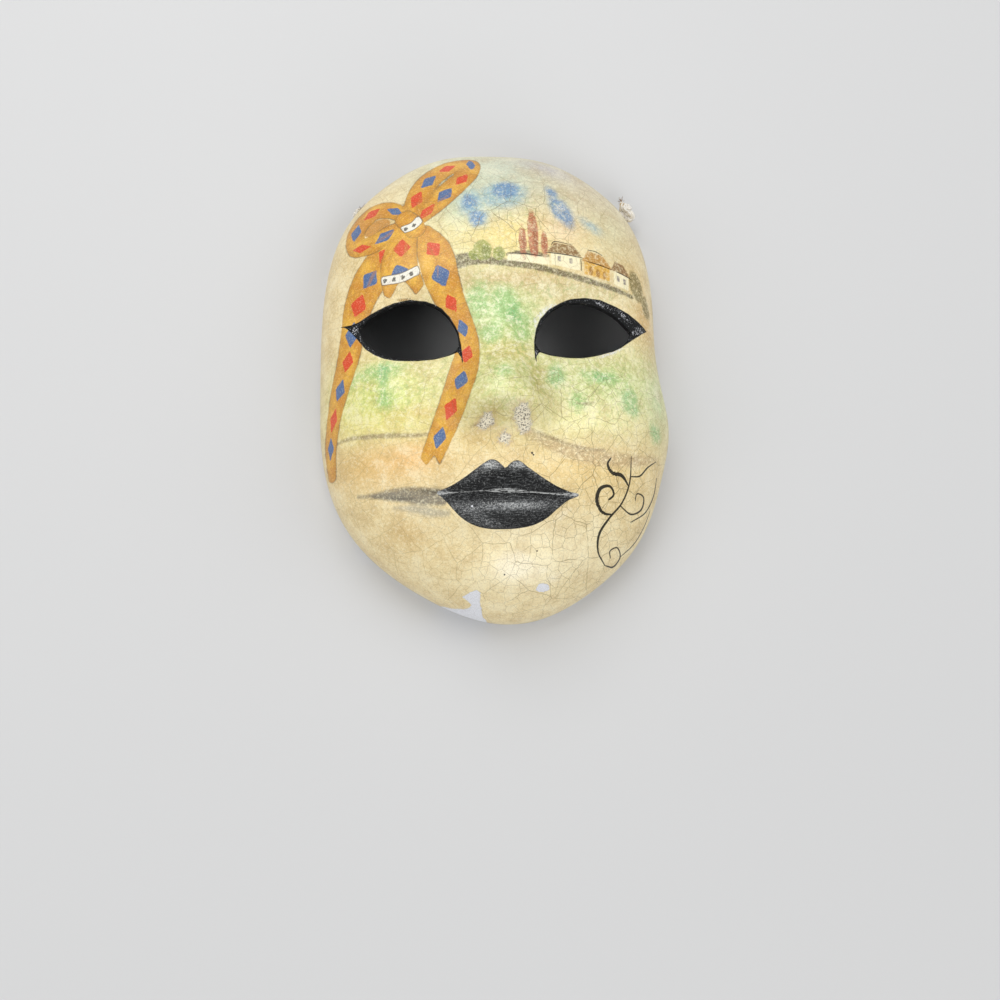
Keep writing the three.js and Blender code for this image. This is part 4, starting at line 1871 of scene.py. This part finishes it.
@dataclass(frozen=True)
class CordHole:
    """A hole for the cord near the temple: its place and the way it points, in millimetres and degrees."""

    x: float
    y: float
    z: float
    turn: float
    width: float = 3.6
    depth: float = 9

    def outward(self, local: Array) -> Array:
        """Places points that are given out of the hole, across it and up.

        Args:
            local: The points, in millimetres.

        Returns:
            The points over the whole mask, in millimetres.
        """
        turn = math.radians(self.turn)
        along = np.array([math.cos(turn), math.sin(turn), 0])
        across = np.array([-math.sin(turn), math.cos(turn), 0])
        middle = np.array([self.x, self.y, self.z])
        return middle + local[:, :1] * along + local[:, 1:2] * across + local[:, 2:] * np.array([0, 0, 1])


RIGHT_HOLE = CordHole(55.9, 75, 6.5, 41)
LEFT_HOLE = CordHole(-56.4, 74.7, 6.5, 139.5)


# The shell


class ShellSlot(Enum):
    """The finishes of the shell's faces, by the number of their slot."""

    PAINTED = 0
    LINING = 1
    RIM = 2
    HOLE_EDGE = 3


def fill_slot(piece: Piece, slot: ShellSlot) -> None:
    """Gives all faces of a piece the finish of one slot."""
    faces = piece.data.polygons
    faces.foreach_set("material_index", np.full(len(faces), slot.value))


@dataclass(frozen=True)
class MaskShell:
    """The hollow moulded shell with its eye holes, cord holes and painting."""

    wall: float = 3
    outer_cuts: Pair = (11, 11)
    inner_cuts: Pair = (11, 5)
    fine_reach: float = 2.4
    detail: tuple[Pair, Pair] = ((-14, 24), (60, 73))
    detail_height: float = 4
    edge_softness: float = 1.1
    edge_drop: float = 0.45
    hole_bottom: float = -5
    hole_top: float = 85
    lid_steps: int = 48
    coarse_lid_steps: int = 12
    bar_sides: int = 24
    smooth_angle: float = 38
    cube_level: float = 1e-6
    rim_level: float = 1e-7
    skins: tuple[object, ...] = (PaintedSkin(), Lining(), RawRim(), HoleEdge())
    painting: Painting = Painting()

    def dome(self, name: str, cuts: Pair) -> Piece:
        """Makes the upper half of a finely divided cube, which is drawn out to the face later.

        Args:
            name: The piece's name.
            cuts: How often each edge is cut, in two rounds.

        Returns:
            The half cube.
        """
        deselect()
        bpy.ops.mesh.primitive_cube_add(size=2)
        piece = name_new(name)
        edit(piece, Part.FACES, np.ones(6, bool))
        for count in cuts:
            bpy.ops.mesh.subdivide(number_cuts=count)
        bpy.ops.mesh.bisect(plane_co=(0, 0, 0), plane_no=(0, 0, 1), clear_inner=True)
        leave_edit()
        return piece

    def spread(self, places: Array, depth: float, forms: Sequence[Swelling]) -> Array:
        """Draws places on the half cube out to the face.

        Args:
            places: The places on the half cube.
            depth: How far under the surface they lie.
            forms: The swellings that count.

        Returns:
            The places on the face, in millimetres.
        """
        even = np.tan(places * math.pi / 4)
        course = even / np.linalg.norm(even, axis=1, keepdims=True)
        share = np.where(places[:, 2] < self.cube_level, 1.0, np.hypot(course[:, 0], course[:, 1]))
        drawn = FACE.points(share, np.arctan2(course[:, 1], course[:, 0]), depth, forms)
        drawn[share == 1, 2] = 0
        return drawn

    def refine(self, piece: Piece) -> None:
        """Divides the faces round the eye holes and under the small painted houses once more.

        Args:
            piece: The dome of the outside, before it takes the face's shape.
        """
        places = self.spread(read_points(piece), 0, BROAD_FORMS)
        corners = np.zeros(len(piece.data.polygons) * 4, np.int32)
        piece.data.polygons.foreach_get("vertices", corners)
        x, y, z = places[corners.reshape(-1, 4)].mean(axis=1).T
        eyes = eye_distance(x, y, self.coarse_lid_steps)
        (low_x, low_y), (high_x, high_y) = self.detail
        houses = (x > low_x) & (x < high_x) & (y > low_y) & (y < high_y) & (z > self.detail_height)
        edit(piece, Part.FACES, (np.abs(eyes) < self.fine_reach) | (houses & (eyes > 0)))
        bpy.ops.mesh.subdivide(number_cuts=1)
        leave_edit()

    def outside(self) -> Piece:
        """Makes the outer surface, a little lower where it meets the eye holes.

        Returns:
            The open surface.
        """
        piece = self.dome("mask_shell_skin", self.outer_cuts)
        self.refine(piece)
        places = self.spread(read_points(piece), 0, BROAD_FORMS + LIP_FORMS)
        eyes = eye_distance(places[:, 0], places[:, 1], self.lid_steps)
        near = np.clip(1 - eyes / self.edge_softness, 0, 1)
        places[:, 2] -= self.edge_drop * near**2 * (places[:, 2] > 1)
        write_points(piece, places * MM)
        return piece

    def inside(self) -> Piece:
        """Makes the surface of the hollow, facing inwards, with as many rim points as the outside has.

        Returns:
            The open surface.
        """
        piece = self.dome("mask_shell_hollow", self.inner_cuts)
        on_rim = np.abs(read_points(piece)[:, 2]) < self.cube_level
        edit(piece, Part.EDGES, on_rim[edge_ends(piece)].all(axis=1))
        bpy.ops.mesh.subdivide(number_cuts=1)
        leave_edit()
        write_points(piece, self.spread(read_points(piece), self.wall, BROAD_FORMS) * MM)
        edit(piece, Part.FACES, np.ones(len(piece.data.polygons), bool))
        bpy.ops.mesh.flip_normals()
        leave_edit()
        fill_slot(piece, ShellSlot.LINING)
        return piece

    def eye_cutter(self, number: int, eye: EyeHole) -> Piece:
        """Makes an upright block in the shape of an eye hole.

        Args:
            number: The eye's number.
            eye: The eye hole.

        Returns:
            The block.
        """
        outline = eye.outline(self.lid_steps)
        deselect()
        bpy.ops.mesh.primitive_circle_add(vertices=len(outline), fill_type="NGON")
        piece = name_new(f"eye_cutter_{number}")
        flat = np.column_stack([outline, np.full(len(outline), self.hole_bottom)])
        write_points(piece, flat * MM)
        edit(piece, Part.FACES, np.ones(1, bool))
        move = {"value": (0, 0, (self.hole_top - self.hole_bottom) * MM)}
        bpy.ops.mesh.extrude_region_move(TRANSFORM_OT_translate=move)
        bpy.ops.mesh.select_all(action="SELECT")
        bpy.ops.mesh.normals_make_consistent(inside=False)
        leave_edit()
        return piece

    def bar_cutter(self, hole: CordHole) -> Piece:
        """Makes a round bar through the wall at a cord hole.

        Args:
            hole: The cord hole.

        Returns:
            The bar.
        """
        deselect()
        turn = (0, math.pi / 2, math.radians(hole.turn))
        bpy.ops.mesh.primitive_cylinder_add(
            vertices=self.bar_sides,
            radius=hole.width / 2 * MM,
            depth=hole.depth * MM,
            location=(hole.x * MM, hole.y * MM, hole.z * MM),
            rotation=turn,
        )
        piece = name_new("cord_hole_cutter")
        bpy.ops.object.transform_apply(location=True, rotation=True, scale=True)
        return piece

    def cut(self, shell: Piece) -> None:
        """Cuts the eye holes and the cord holes into the shell.

        Args:
            shell: The closed shell.
        """
        cutters = [self.eye_cutter(number, eye) for number, eye in enumerate(EYES)]
        cutters += [self.bar_cutter(hole) for hole in (RIGHT_HOLE, LEFT_HOLE)]
        for cutter in cutters:
            for material in shell.data.materials:
                cutter.data.materials.append(material)
            fill_slot(cutter, ShellSlot.HOLE_EDGE)
            modifier = shell.modifiers.new(cutter.name, "BOOLEAN")
            modifier.operation = "DIFFERENCE"
            modifier.solver = "EXACT"
            modifier.material_mode = "INDEX"
            modifier.object = cutter
        apply_modifiers(shell)
        for cutter in cutters:
            bpy.data.objects.remove(cutter)

    def close(self, outside: Piece, inside: Piece) -> Piece:
        """Joins the two surfaces and closes the flat rim between them.

        Args:
            outside: The outer surface.
            inside: The hollow's surface.

        Returns:
            The closed shell.
        """
        choose(outside, inside)
        bpy.ops.object.join()
        shell = name_new("mask_shell_piece")
        on_rim = np.abs(read_points(shell)[:, 2]) < self.rim_level
        edit(shell, Part.EDGES, on_rim[edge_ends(shell)].all(axis=1))
        bpy.ops.mesh.bridge_edge_loops()
        bpy.ops.mesh.select_all(action="SELECT")
        bpy.ops.mesh.normals_make_consistent(inside=False)
        leave_edit()
        return shell

    def dress(self, shell: Piece) -> None:
        """Gives the shell's faces their finishes and its points the painting's layers.

        Args:
            shell: The shell with its holes.
        """
        mesh = shell.data
        middles = np.zeros(len(mesh.polygons) * 3, np.float32)
        mesh.polygons.foreach_get("center", middles)
        slots = np.zeros(len(mesh.polygons), np.int32)
        mesh.polygons.foreach_get("material_index", slots)
        slots[np.abs(middles.reshape(-1, 3)[:, 2]) < self.rim_level] = ShellSlot.RIM.value
        mesh.polygons.foreach_set("material_index", slots)
        x, y, z = read_points(shell).T / MM
        flat = mesh.attributes.new("unrolled", "FLOAT_VECTOR", "POINT")
        flat.data.foreach_set("vector", FACE.unrolled(x, y, z).astype(np.float32).ravel())
        colours = mesh.attributes.new("washes", "FLOAT_COLOR", "POINT")
        colours.data.foreach_set("color", self.painting.washes(x, y).astype(np.float32).ravel())
        for name, values in self.painting.layers(x, y).items():
            layer = mesh.attributes.new(name, "FLOAT", "POINT")
            layer.data.foreach_set("value", np.asarray(values, np.float32))

    def build(self) -> Piece:
        """Builds and dresses the shell.

        Returns:
            The finished piece.
        """
        outside, inside = self.outside(), self.inside()
        for skin in self.skins:
            outside.data.materials.append(skin.material())
        for material in outside.data.materials:
            inside.data.materials.append(material)
        shell = self.close(outside, inside)
        self.cut(shell)
        self.dress(shell)
        choose(shell)
        bpy.ops.object.shade_smooth_by_angle(angle=math.radians(self.smooth_angle))
        install(shell, "mask_shell")
        return shell


# The cord and its knots

SLANTED = (0.31, 0.17, 0.93)


@dataclass
class StrandMesh:
    """Collects round strands into one mesh with a map round and along each."""

    points: list[Array] = field(default_factory=list)
    faces: list[tuple[int, ...]] = field(default_factory=list)
    map_places: list[Pair] = field(default_factory=list)
    slots: list[int] = field(default_factory=list)
    count: int = 0

    def add(self, path: Array, radii: Array, sides: int, slot: int) -> None:
        """Wraps a closed tube round a path.

        Args:
            path: The path's points, in millimetres.
            radii: The tube's radius at each point.
            sides: How many faces go round it.
            slot: The number of its finish.
        """
        first, second = frames(path)
        angles = np.arange(sides) * math.tau / sides
        cosine, sine = np.cos(angles)[None, :, None], np.sin(angles)[None, :, None]
        ring = cosine * first[:, None] + sine * second[:, None]
        rings = path[:, None] + ring * radii[:, None, None]
        ends = np.array([path[0], path[-1]])
        self.points.append(np.vstack([rings.reshape(-1, 3), ends]))
        gone = length_along(path)
        start, last = self.count, len(path) - 1
        for i in range(last):
            for j in range(sides):
                k = (j + 1) % sides
                low, high = start + i * sides, start + (i + 1) * sides
                self.faces.append((low + j, low + k, high + k, high + j))
                u, v = j / sides, (j + 1) / sides
                self.map_places += [(u, gone[i]), (v, gone[i]), (v, gone[i + 1]), (u, gone[i + 1])]
        for j in range(sides):
            k = (j + 1) % sides
            u, v = j / sides, (j + 1) / sides
            self.faces.append((start + len(path) * sides, start + k, start + j))
            self.map_places += [(u, gone[0]), (v, gone[0]), (u, gone[0])]
            end = start + last * sides
            self.faces.append((start + len(path) * sides + 1, end + j, end + k))
            self.map_places += [(u, gone[-1]), (u, gone[-1]), (v, gone[-1])]
        self.slots += [slot] * (last * sides + 2 * sides)
        self.count += len(path) * sides + 2

    def piece(self, name: str, finishes: Sequence[Yarn]) -> Piece:
        """Makes the piece from all strands.

        Args:
            name: The piece's name.
            finishes: Its finishes, in the order of the slots.

        Returns:
            The piece, in metres.
        """
        mesh = bpy.data.meshes.new(name)
        mesh.from_pydata((np.vstack(self.points) * MM).tolist(), [], self.faces)
        layer = mesh.uv_layers.new(name=STRAND_MAP)
        layer.data.foreach_set("uv", np.array(self.map_places, np.float32).ravel())
        mesh.polygons.foreach_set("material_index", np.array(self.slots, np.int32))
        mesh.polygons.foreach_set("use_smooth", np.ones(len(mesh.polygons), bool))
        for finish in finishes:
            mesh.materials.append(finish.material())
        mesh.update()
        piece = bpy.data.objects.new(name, mesh)
        bpy.context.scene.collection.objects.link(piece)
        return piece


def frames(path: Array) -> tuple[Array, Array]:
    """Carries two crosswise directions along a path without twisting them.

    Args:
        path: The path's points.

    Returns:
        The two directions at each point.
    """
    course = np.gradient(path, axis=0)
    course /= np.maximum(np.linalg.norm(course, axis=1, keepdims=True), SHORTEST)
    side = np.cross(course[0], SLANTED)
    sides = []
    for direction in course:
        side = side - direction * side.dot(direction)
        side /= max(np.linalg.norm(side), SHORTEST)
        sides.append(side)
    first = np.array(sides)
    return first, np.cross(course, first)


def winding(path: Array, offset: Array | float, pitch: float, start: float) -> Array:
    """Winds a line round a path.

    Args:
        path: The path's points, in millimetres.
        offset: How far the line lies from the path.
        pitch: The length of one turn.
        start: The part of a turn that it begins with.

    Returns:
        The line's points.
    """
    first, second = frames(path)
    turn = (length_along(path) / pitch + start) * math.tau
    reach = np.broadcast_to(offset, turn.shape)[:, None]
    return path + reach * (np.cos(turn)[:, None] * first + np.sin(turn)[:, None] * second)


@dataclass(frozen=True)
class Twist:
    """How the cord is laid: three soft strands and a thin gold thread in a groove between two of them."""

    diameter: float = 2.5
    strands: int = 3
    pitch: float = 7.5
    offset_share: float = 0.46
    strand_share: float = 0.54
    sides: int = 9
    gold_share: float = 0.17
    gold_sides: int = 6

    def lay(self, mesh: StrandMesh, path: Array, widths: Array) -> None:
        """Lays the cord's strands along a path.

        Args:
            mesh: The mesh that they go into.
            path: The path's points, in millimetres.
            widths: The cord's radius at each point.
        """
        for number in range(self.strands):
            line = winding(path, self.offset_share * widths, self.pitch, number / self.strands)
            mesh.add(line, self.strand_share * widths, self.sides, 0)
        if self.gold_share > 0:
            groove = winding(path, (1 - self.gold_share) * widths, self.pitch, 0.5 / self.strands)
            mesh.add(groove, self.gold_share * widths, self.gold_sides, 1)


COTTON = Yarn("white_cotton", "efebe3", "c6bdae", 0.82)
GOLD_THREAD = Yarn("gold_thread", "d9b45c", "8f6a28", 0.34, metallic=0.85, fibres=2, lay=0.5)
FRAYED = Yarn("frayed_fibre", "9a7648", "5f4426", 0.75)


@dataclass(frozen=True)
class HangingCord:
    """The soft cord between the two temple holes, which lies on the ground in the hollow."""

    diameter: float = 2.5
    steps: int = 330
    twist: Twist = Twist()
    route: tuple[Triple, ...] = (
        (55.6, 74.8, 6.5), (52.4, 72, 6.5), (49.4, 69.4, 5.5), (46.2, 66.7, 3.4), (42.2, 63.7, 1.7),
        (36.6, 60.2, 1.35), (29.6, 57.2, 1.35), (22, 56, 1.35), (14.8, 58, 1.35), (10, 63.4, 1.35),
        (8.8, 70.6, 1.35), (7.6, 77.8, 1.35), (2.6, 83.2, 1.35), (-4.6, 83.6, 1.35), (-9.8, 78.6, 1.35),
        (-11.2, 71.4, 1.35), (-12.4, 64.2, 1.35), (-17.2, 58.6, 1.35), (-24.4, 56.4, 1.35),
        (-31.8, 57.8, 1.35), (-38.4, 60.9, 1.35), (-43.2, 64, 1.7), (-47, 66.9, 3.4), (-50.2, 69.5, 5.5),
        (-53.1, 71.9, 6.5), (-56.1, 74.5, 6.5),
    )  # fmt: skip

    def path(self) -> Array:
        """Draws the cord's middle line."""
        return smooth_path(self.route, self.steps, centripetal=True)

    def build(self, knots: Sequence[Piece]) -> Piece:
        """Args:
            knots: The knots at its two ends, which are not used.

        Returns:
            The finished piece.
        """
        path = self.path()
        mesh = StrandMesh()
        self.twist.lay(mesh, path, np.full(len(path), self.diameter / 2))
        piece = mesh.piece("hanging_cord_piece", (COTTON, GOLD_THREAD))
        install(piece, "hanging_cord")
        (path * MM).tolist()
        return piece


@dataclass(frozen=True)
class CordKnot:
    """A knot of the cord outside its hole, with what is left of the cord's end."""

    name: str
    node: str
    hole: CordHole
    radius: float
    points: tuple[Triple, ...]
    steps: int
    end_radius: float
    bound: bool
    fibres: int
    fibre_length: float
    seed: int
    twist: Twist = Twist(pitch=5.5, gold_share=0)
    bound_part: tuple[int, int] = (-14, -5)
    thread_radius: float = 0.17
    thread_pitch: float = 0.34
    fibre_spread: float = 0.42
    root_spread: float = 0.3
    root_radius: float = 0.13
    tip_radius: float = 0.05

    def binding(self, mesh: StrandMesh, path: Array) -> None:
        """Winds gold thread round the cord's end.

        Args:
            mesh: The strands so far, which the thread joins.
            path: The cord's middle line, up to that end.
        """
        end = smooth_path(path[slice(*self.bound_part)], 90)
        coil = winding(end, self.end_radius + 0.1, self.thread_pitch, 0)
        mesh.add(coil, np.full(len(end), self.thread_radius), sides=5, slot=1)

    def fray(self, mesh: StrandMesh, path: Array) -> None:
        """Spreads loose fibres from the cord's end.

        Args:
            mesh: The strands so far, which the fibres join.
            path: The cord's middle line, up to that end.
        """
        chance = np.random.default_rng(self.seed)
        course = path[-1] - path[-4]
        course /= np.linalg.norm(course)
        for _ in range(self.fibres):
            spread = chance.normal(0, self.fibre_spread, 3)
            start = path[-3] + chance.normal(0, self.root_spread, 3) * self.end_radius
            reach = self.fibre_length * chance.uniform(0.5, 1)
            middle = start + (course + 0.35 * spread) * reach * 0.5
            tip = start + (course + spread) * reach
            line = smooth_path([start, middle, tip], 6)
            mesh.add(line, np.linspace(self.root_radius, self.tip_radius, len(line)), sides=4, slot=2)

    def build(self) -> Piece:
        """Builds the knot.

        Returns:
            The finished piece.
        """
        path = smooth_path(self.points, self.steps, centripetal=True)
        widths = np.full(len(path), self.radius)
        widths[-10:] = np.linspace(self.radius, self.end_radius, 10)
        mesh = StrandMesh()
        self.twist.lay(mesh, path, widths)
        if self.bound:
            self.binding(mesh, path)
        self.fray(mesh, path)
        mesh.points = [self.hole.outward(points) for points in mesh.points]
        piece = mesh.piece(self.name, (COTTON, GOLD_THREAD, FRAYED))
        install(piece, self.node)
        return piece


RIGHT_KNOT = CordKnot(
    name="right_knot_piece", node="cord_knot_right", hole=RIGHT_HOLE, radius=1.25,
    points=(
        (-1, 0, -0.2), (1.5, -0.2, -0.3), (2.3, -2.5, -0.5), (2.7, -4.4, -0.1), (4, -4.3, 1), (4, -2.8, 1.6),
        (3.2, -1.2, 0.4), (3.1, 1.1, -0.3), (4.3, 1.9, 0.3), (5.3, 0.8, 0.9), (5, -0.9, 1.7), (3.9, -0.7, 2),
        (3.4, 0.8, 1.7), (3.9, 2.3, 1.3), (4.7, 3.5, 1),
    ),
    steps=110, end_radius=0.8, bound=True, fibres=22, fibre_length=2.4, seed=5,
)  # fmt: skip
LEFT_KNOT = CordKnot(
    name="left_knot_piece", node="cord_knot_left", hole=LEFT_HOLE, radius=0.9,
    points=(
        (-1, 0, 0), (1, 0.6, 0.5), (1.5, 1.2, -0.6), (1.2, -0.3, -1.5), (1.5, -1.3, -0.2), (1.1, -0.2, 0.9),
        (1.6, -1.1, -0.6), (1.7, -2.6, -1.3),
    ),
    steps=70, end_radius=0.65, bound=False, fibres=9, fibre_length=3.6, seed=8,
)  # fmt: skip


# Studio


@dataclass(frozen=True)
class SoftBox:
    """A square soft light that faces the mask: the way it stands from there, in degrees, and its strength."""

    name: str
    azimuth: float
    elevation: float
    distance: float
    size: float
    power: float
    colour: Triple = (1, 1, 1)

    def build(self) -> None:
        """Adds the light."""
        light = bpy.data.lights.new(self.name, "AREA")
        light.shape = "SQUARE"
        light.size = self.size
        light.energy = self.power
        light.color = self.colour
        lamp = bpy.data.objects.new(self.name, light)
        turn = Matrix.Rotation(math.radians(self.azimuth), 4, "Z")
        tilt = Matrix.Rotation(math.radians(90 - self.elevation), 4, "Y")
        lamp.matrix_world = turn @ tilt @ Matrix.Translation((0, 0, self.distance))
        bpy.context.scene.collection.objects.link(lamp)


@dataclass(frozen=True)
class Studio:
    """The camera, the pale floor and the soft light."""

    eye: Triple = (-20.97, -81.05, 314.84)
    pitch: float = 6
    yaw: float = 4
    roll: float = 1.5
    lens: float = 27
    sensor: float = 36
    near: float = 0.01
    floor_size: float = 4
    floor_depth: float = 0.0002
    floor_colour: Colour = (0.6, 0.6, 0.6, 1.0)
    sky: Colour = (0.92, 0.96, 1.0, 1.0)
    sky_strength: float = 0.12
    boxes: tuple[SoftBox, ...] = (
        SoftBox("key", 105, 50, 1.1, 0.9, 9),
        SoftBox("left_fill", 195, 40, 1.2, 0.8, 5.4),
        SoftBox("front_fill", 285, 32, 1.3, 0.8, 7.0),
        SoftBox("right_fill", 10, 40, 1.2, 0.8, 4.6),
    )

    def camera(self) -> None:
        """Sets up the camera at the photograph's angle."""
        pitch, yaw, roll = (math.radians(angle) for angle in (self.pitch, self.yaw, self.roll))
        ahead = np.array([math.sin(yaw), math.sin(pitch) * math.cos(yaw), -math.cos(pitch) * math.cos(yaw)])
        level = np.cross(ahead, (0, 1, 0))
        level /= np.linalg.norm(level)
        upright = np.cross(level, ahead)
        right = math.cos(roll) * level - math.sin(roll) * upright
        up = math.sin(roll) * level + math.cos(roll) * upright
        lens = bpy.data.cameras.new("camera")
        lens.lens = self.lens
        lens.sensor_width = self.sensor
        lens.clip_start = self.near
        camera = bpy.data.objects.new("camera", lens)
        rows = [[right[k], up[k], -ahead[k], self.eye[k] * MM] for k in range(3)]
        camera.matrix_world = Matrix(rows + [[0, 0, 0, 1]])
        bpy.context.scene.collection.objects.link(camera)
        bpy.context.scene.camera = camera

    def floor(self) -> None:
        """Lays the pale floor."""
        deselect()
        bpy.ops.mesh.primitive_plane_add(size=self.floor_size, location=(0, 0, -self.floor_depth))
        piece = name_new("floor")
        sheet = NodeSheet("pale_floor")
        roughness = 0.75 + sheet.noise(40, 2, 0.5) * 0.1
        piece.data.materials.append(sheet.surface(Base_Color=self.floor_colour, Roughness=roughness))

    def light(self) -> None:
        """Sets up the soft light all round and the soft boxes."""
        world = bpy.data.worlds.new("studio")
        world.use_nodes = True
        background = world.node_tree.nodes["Background"]
        background.inputs["Color"].default_value = self.sky
        background.inputs["Strength"].default_value = self.sky_strength
        bpy.context.scene.world = world
        for box in self.boxes:
            box.build()
        bpy.context.scene.view_settings.view_transform = "Standard"
        bpy.context.scene.view_settings.look = "None"


def main() -> None:
    """Builds the whole scene in order."""
    logging.basicConfig(level=logging.INFO, format="%(name)s: %(message)s")
    studio = Studio()
    studio.camera()
    knots = [knot.build() for knot in (RIGHT_KNOT, LEFT_KNOT)]
    HangingCord().build(knots)
    MaskShell().build()
    studio.floor()
    studio.light()


if __name__ == "__main__":
    main()
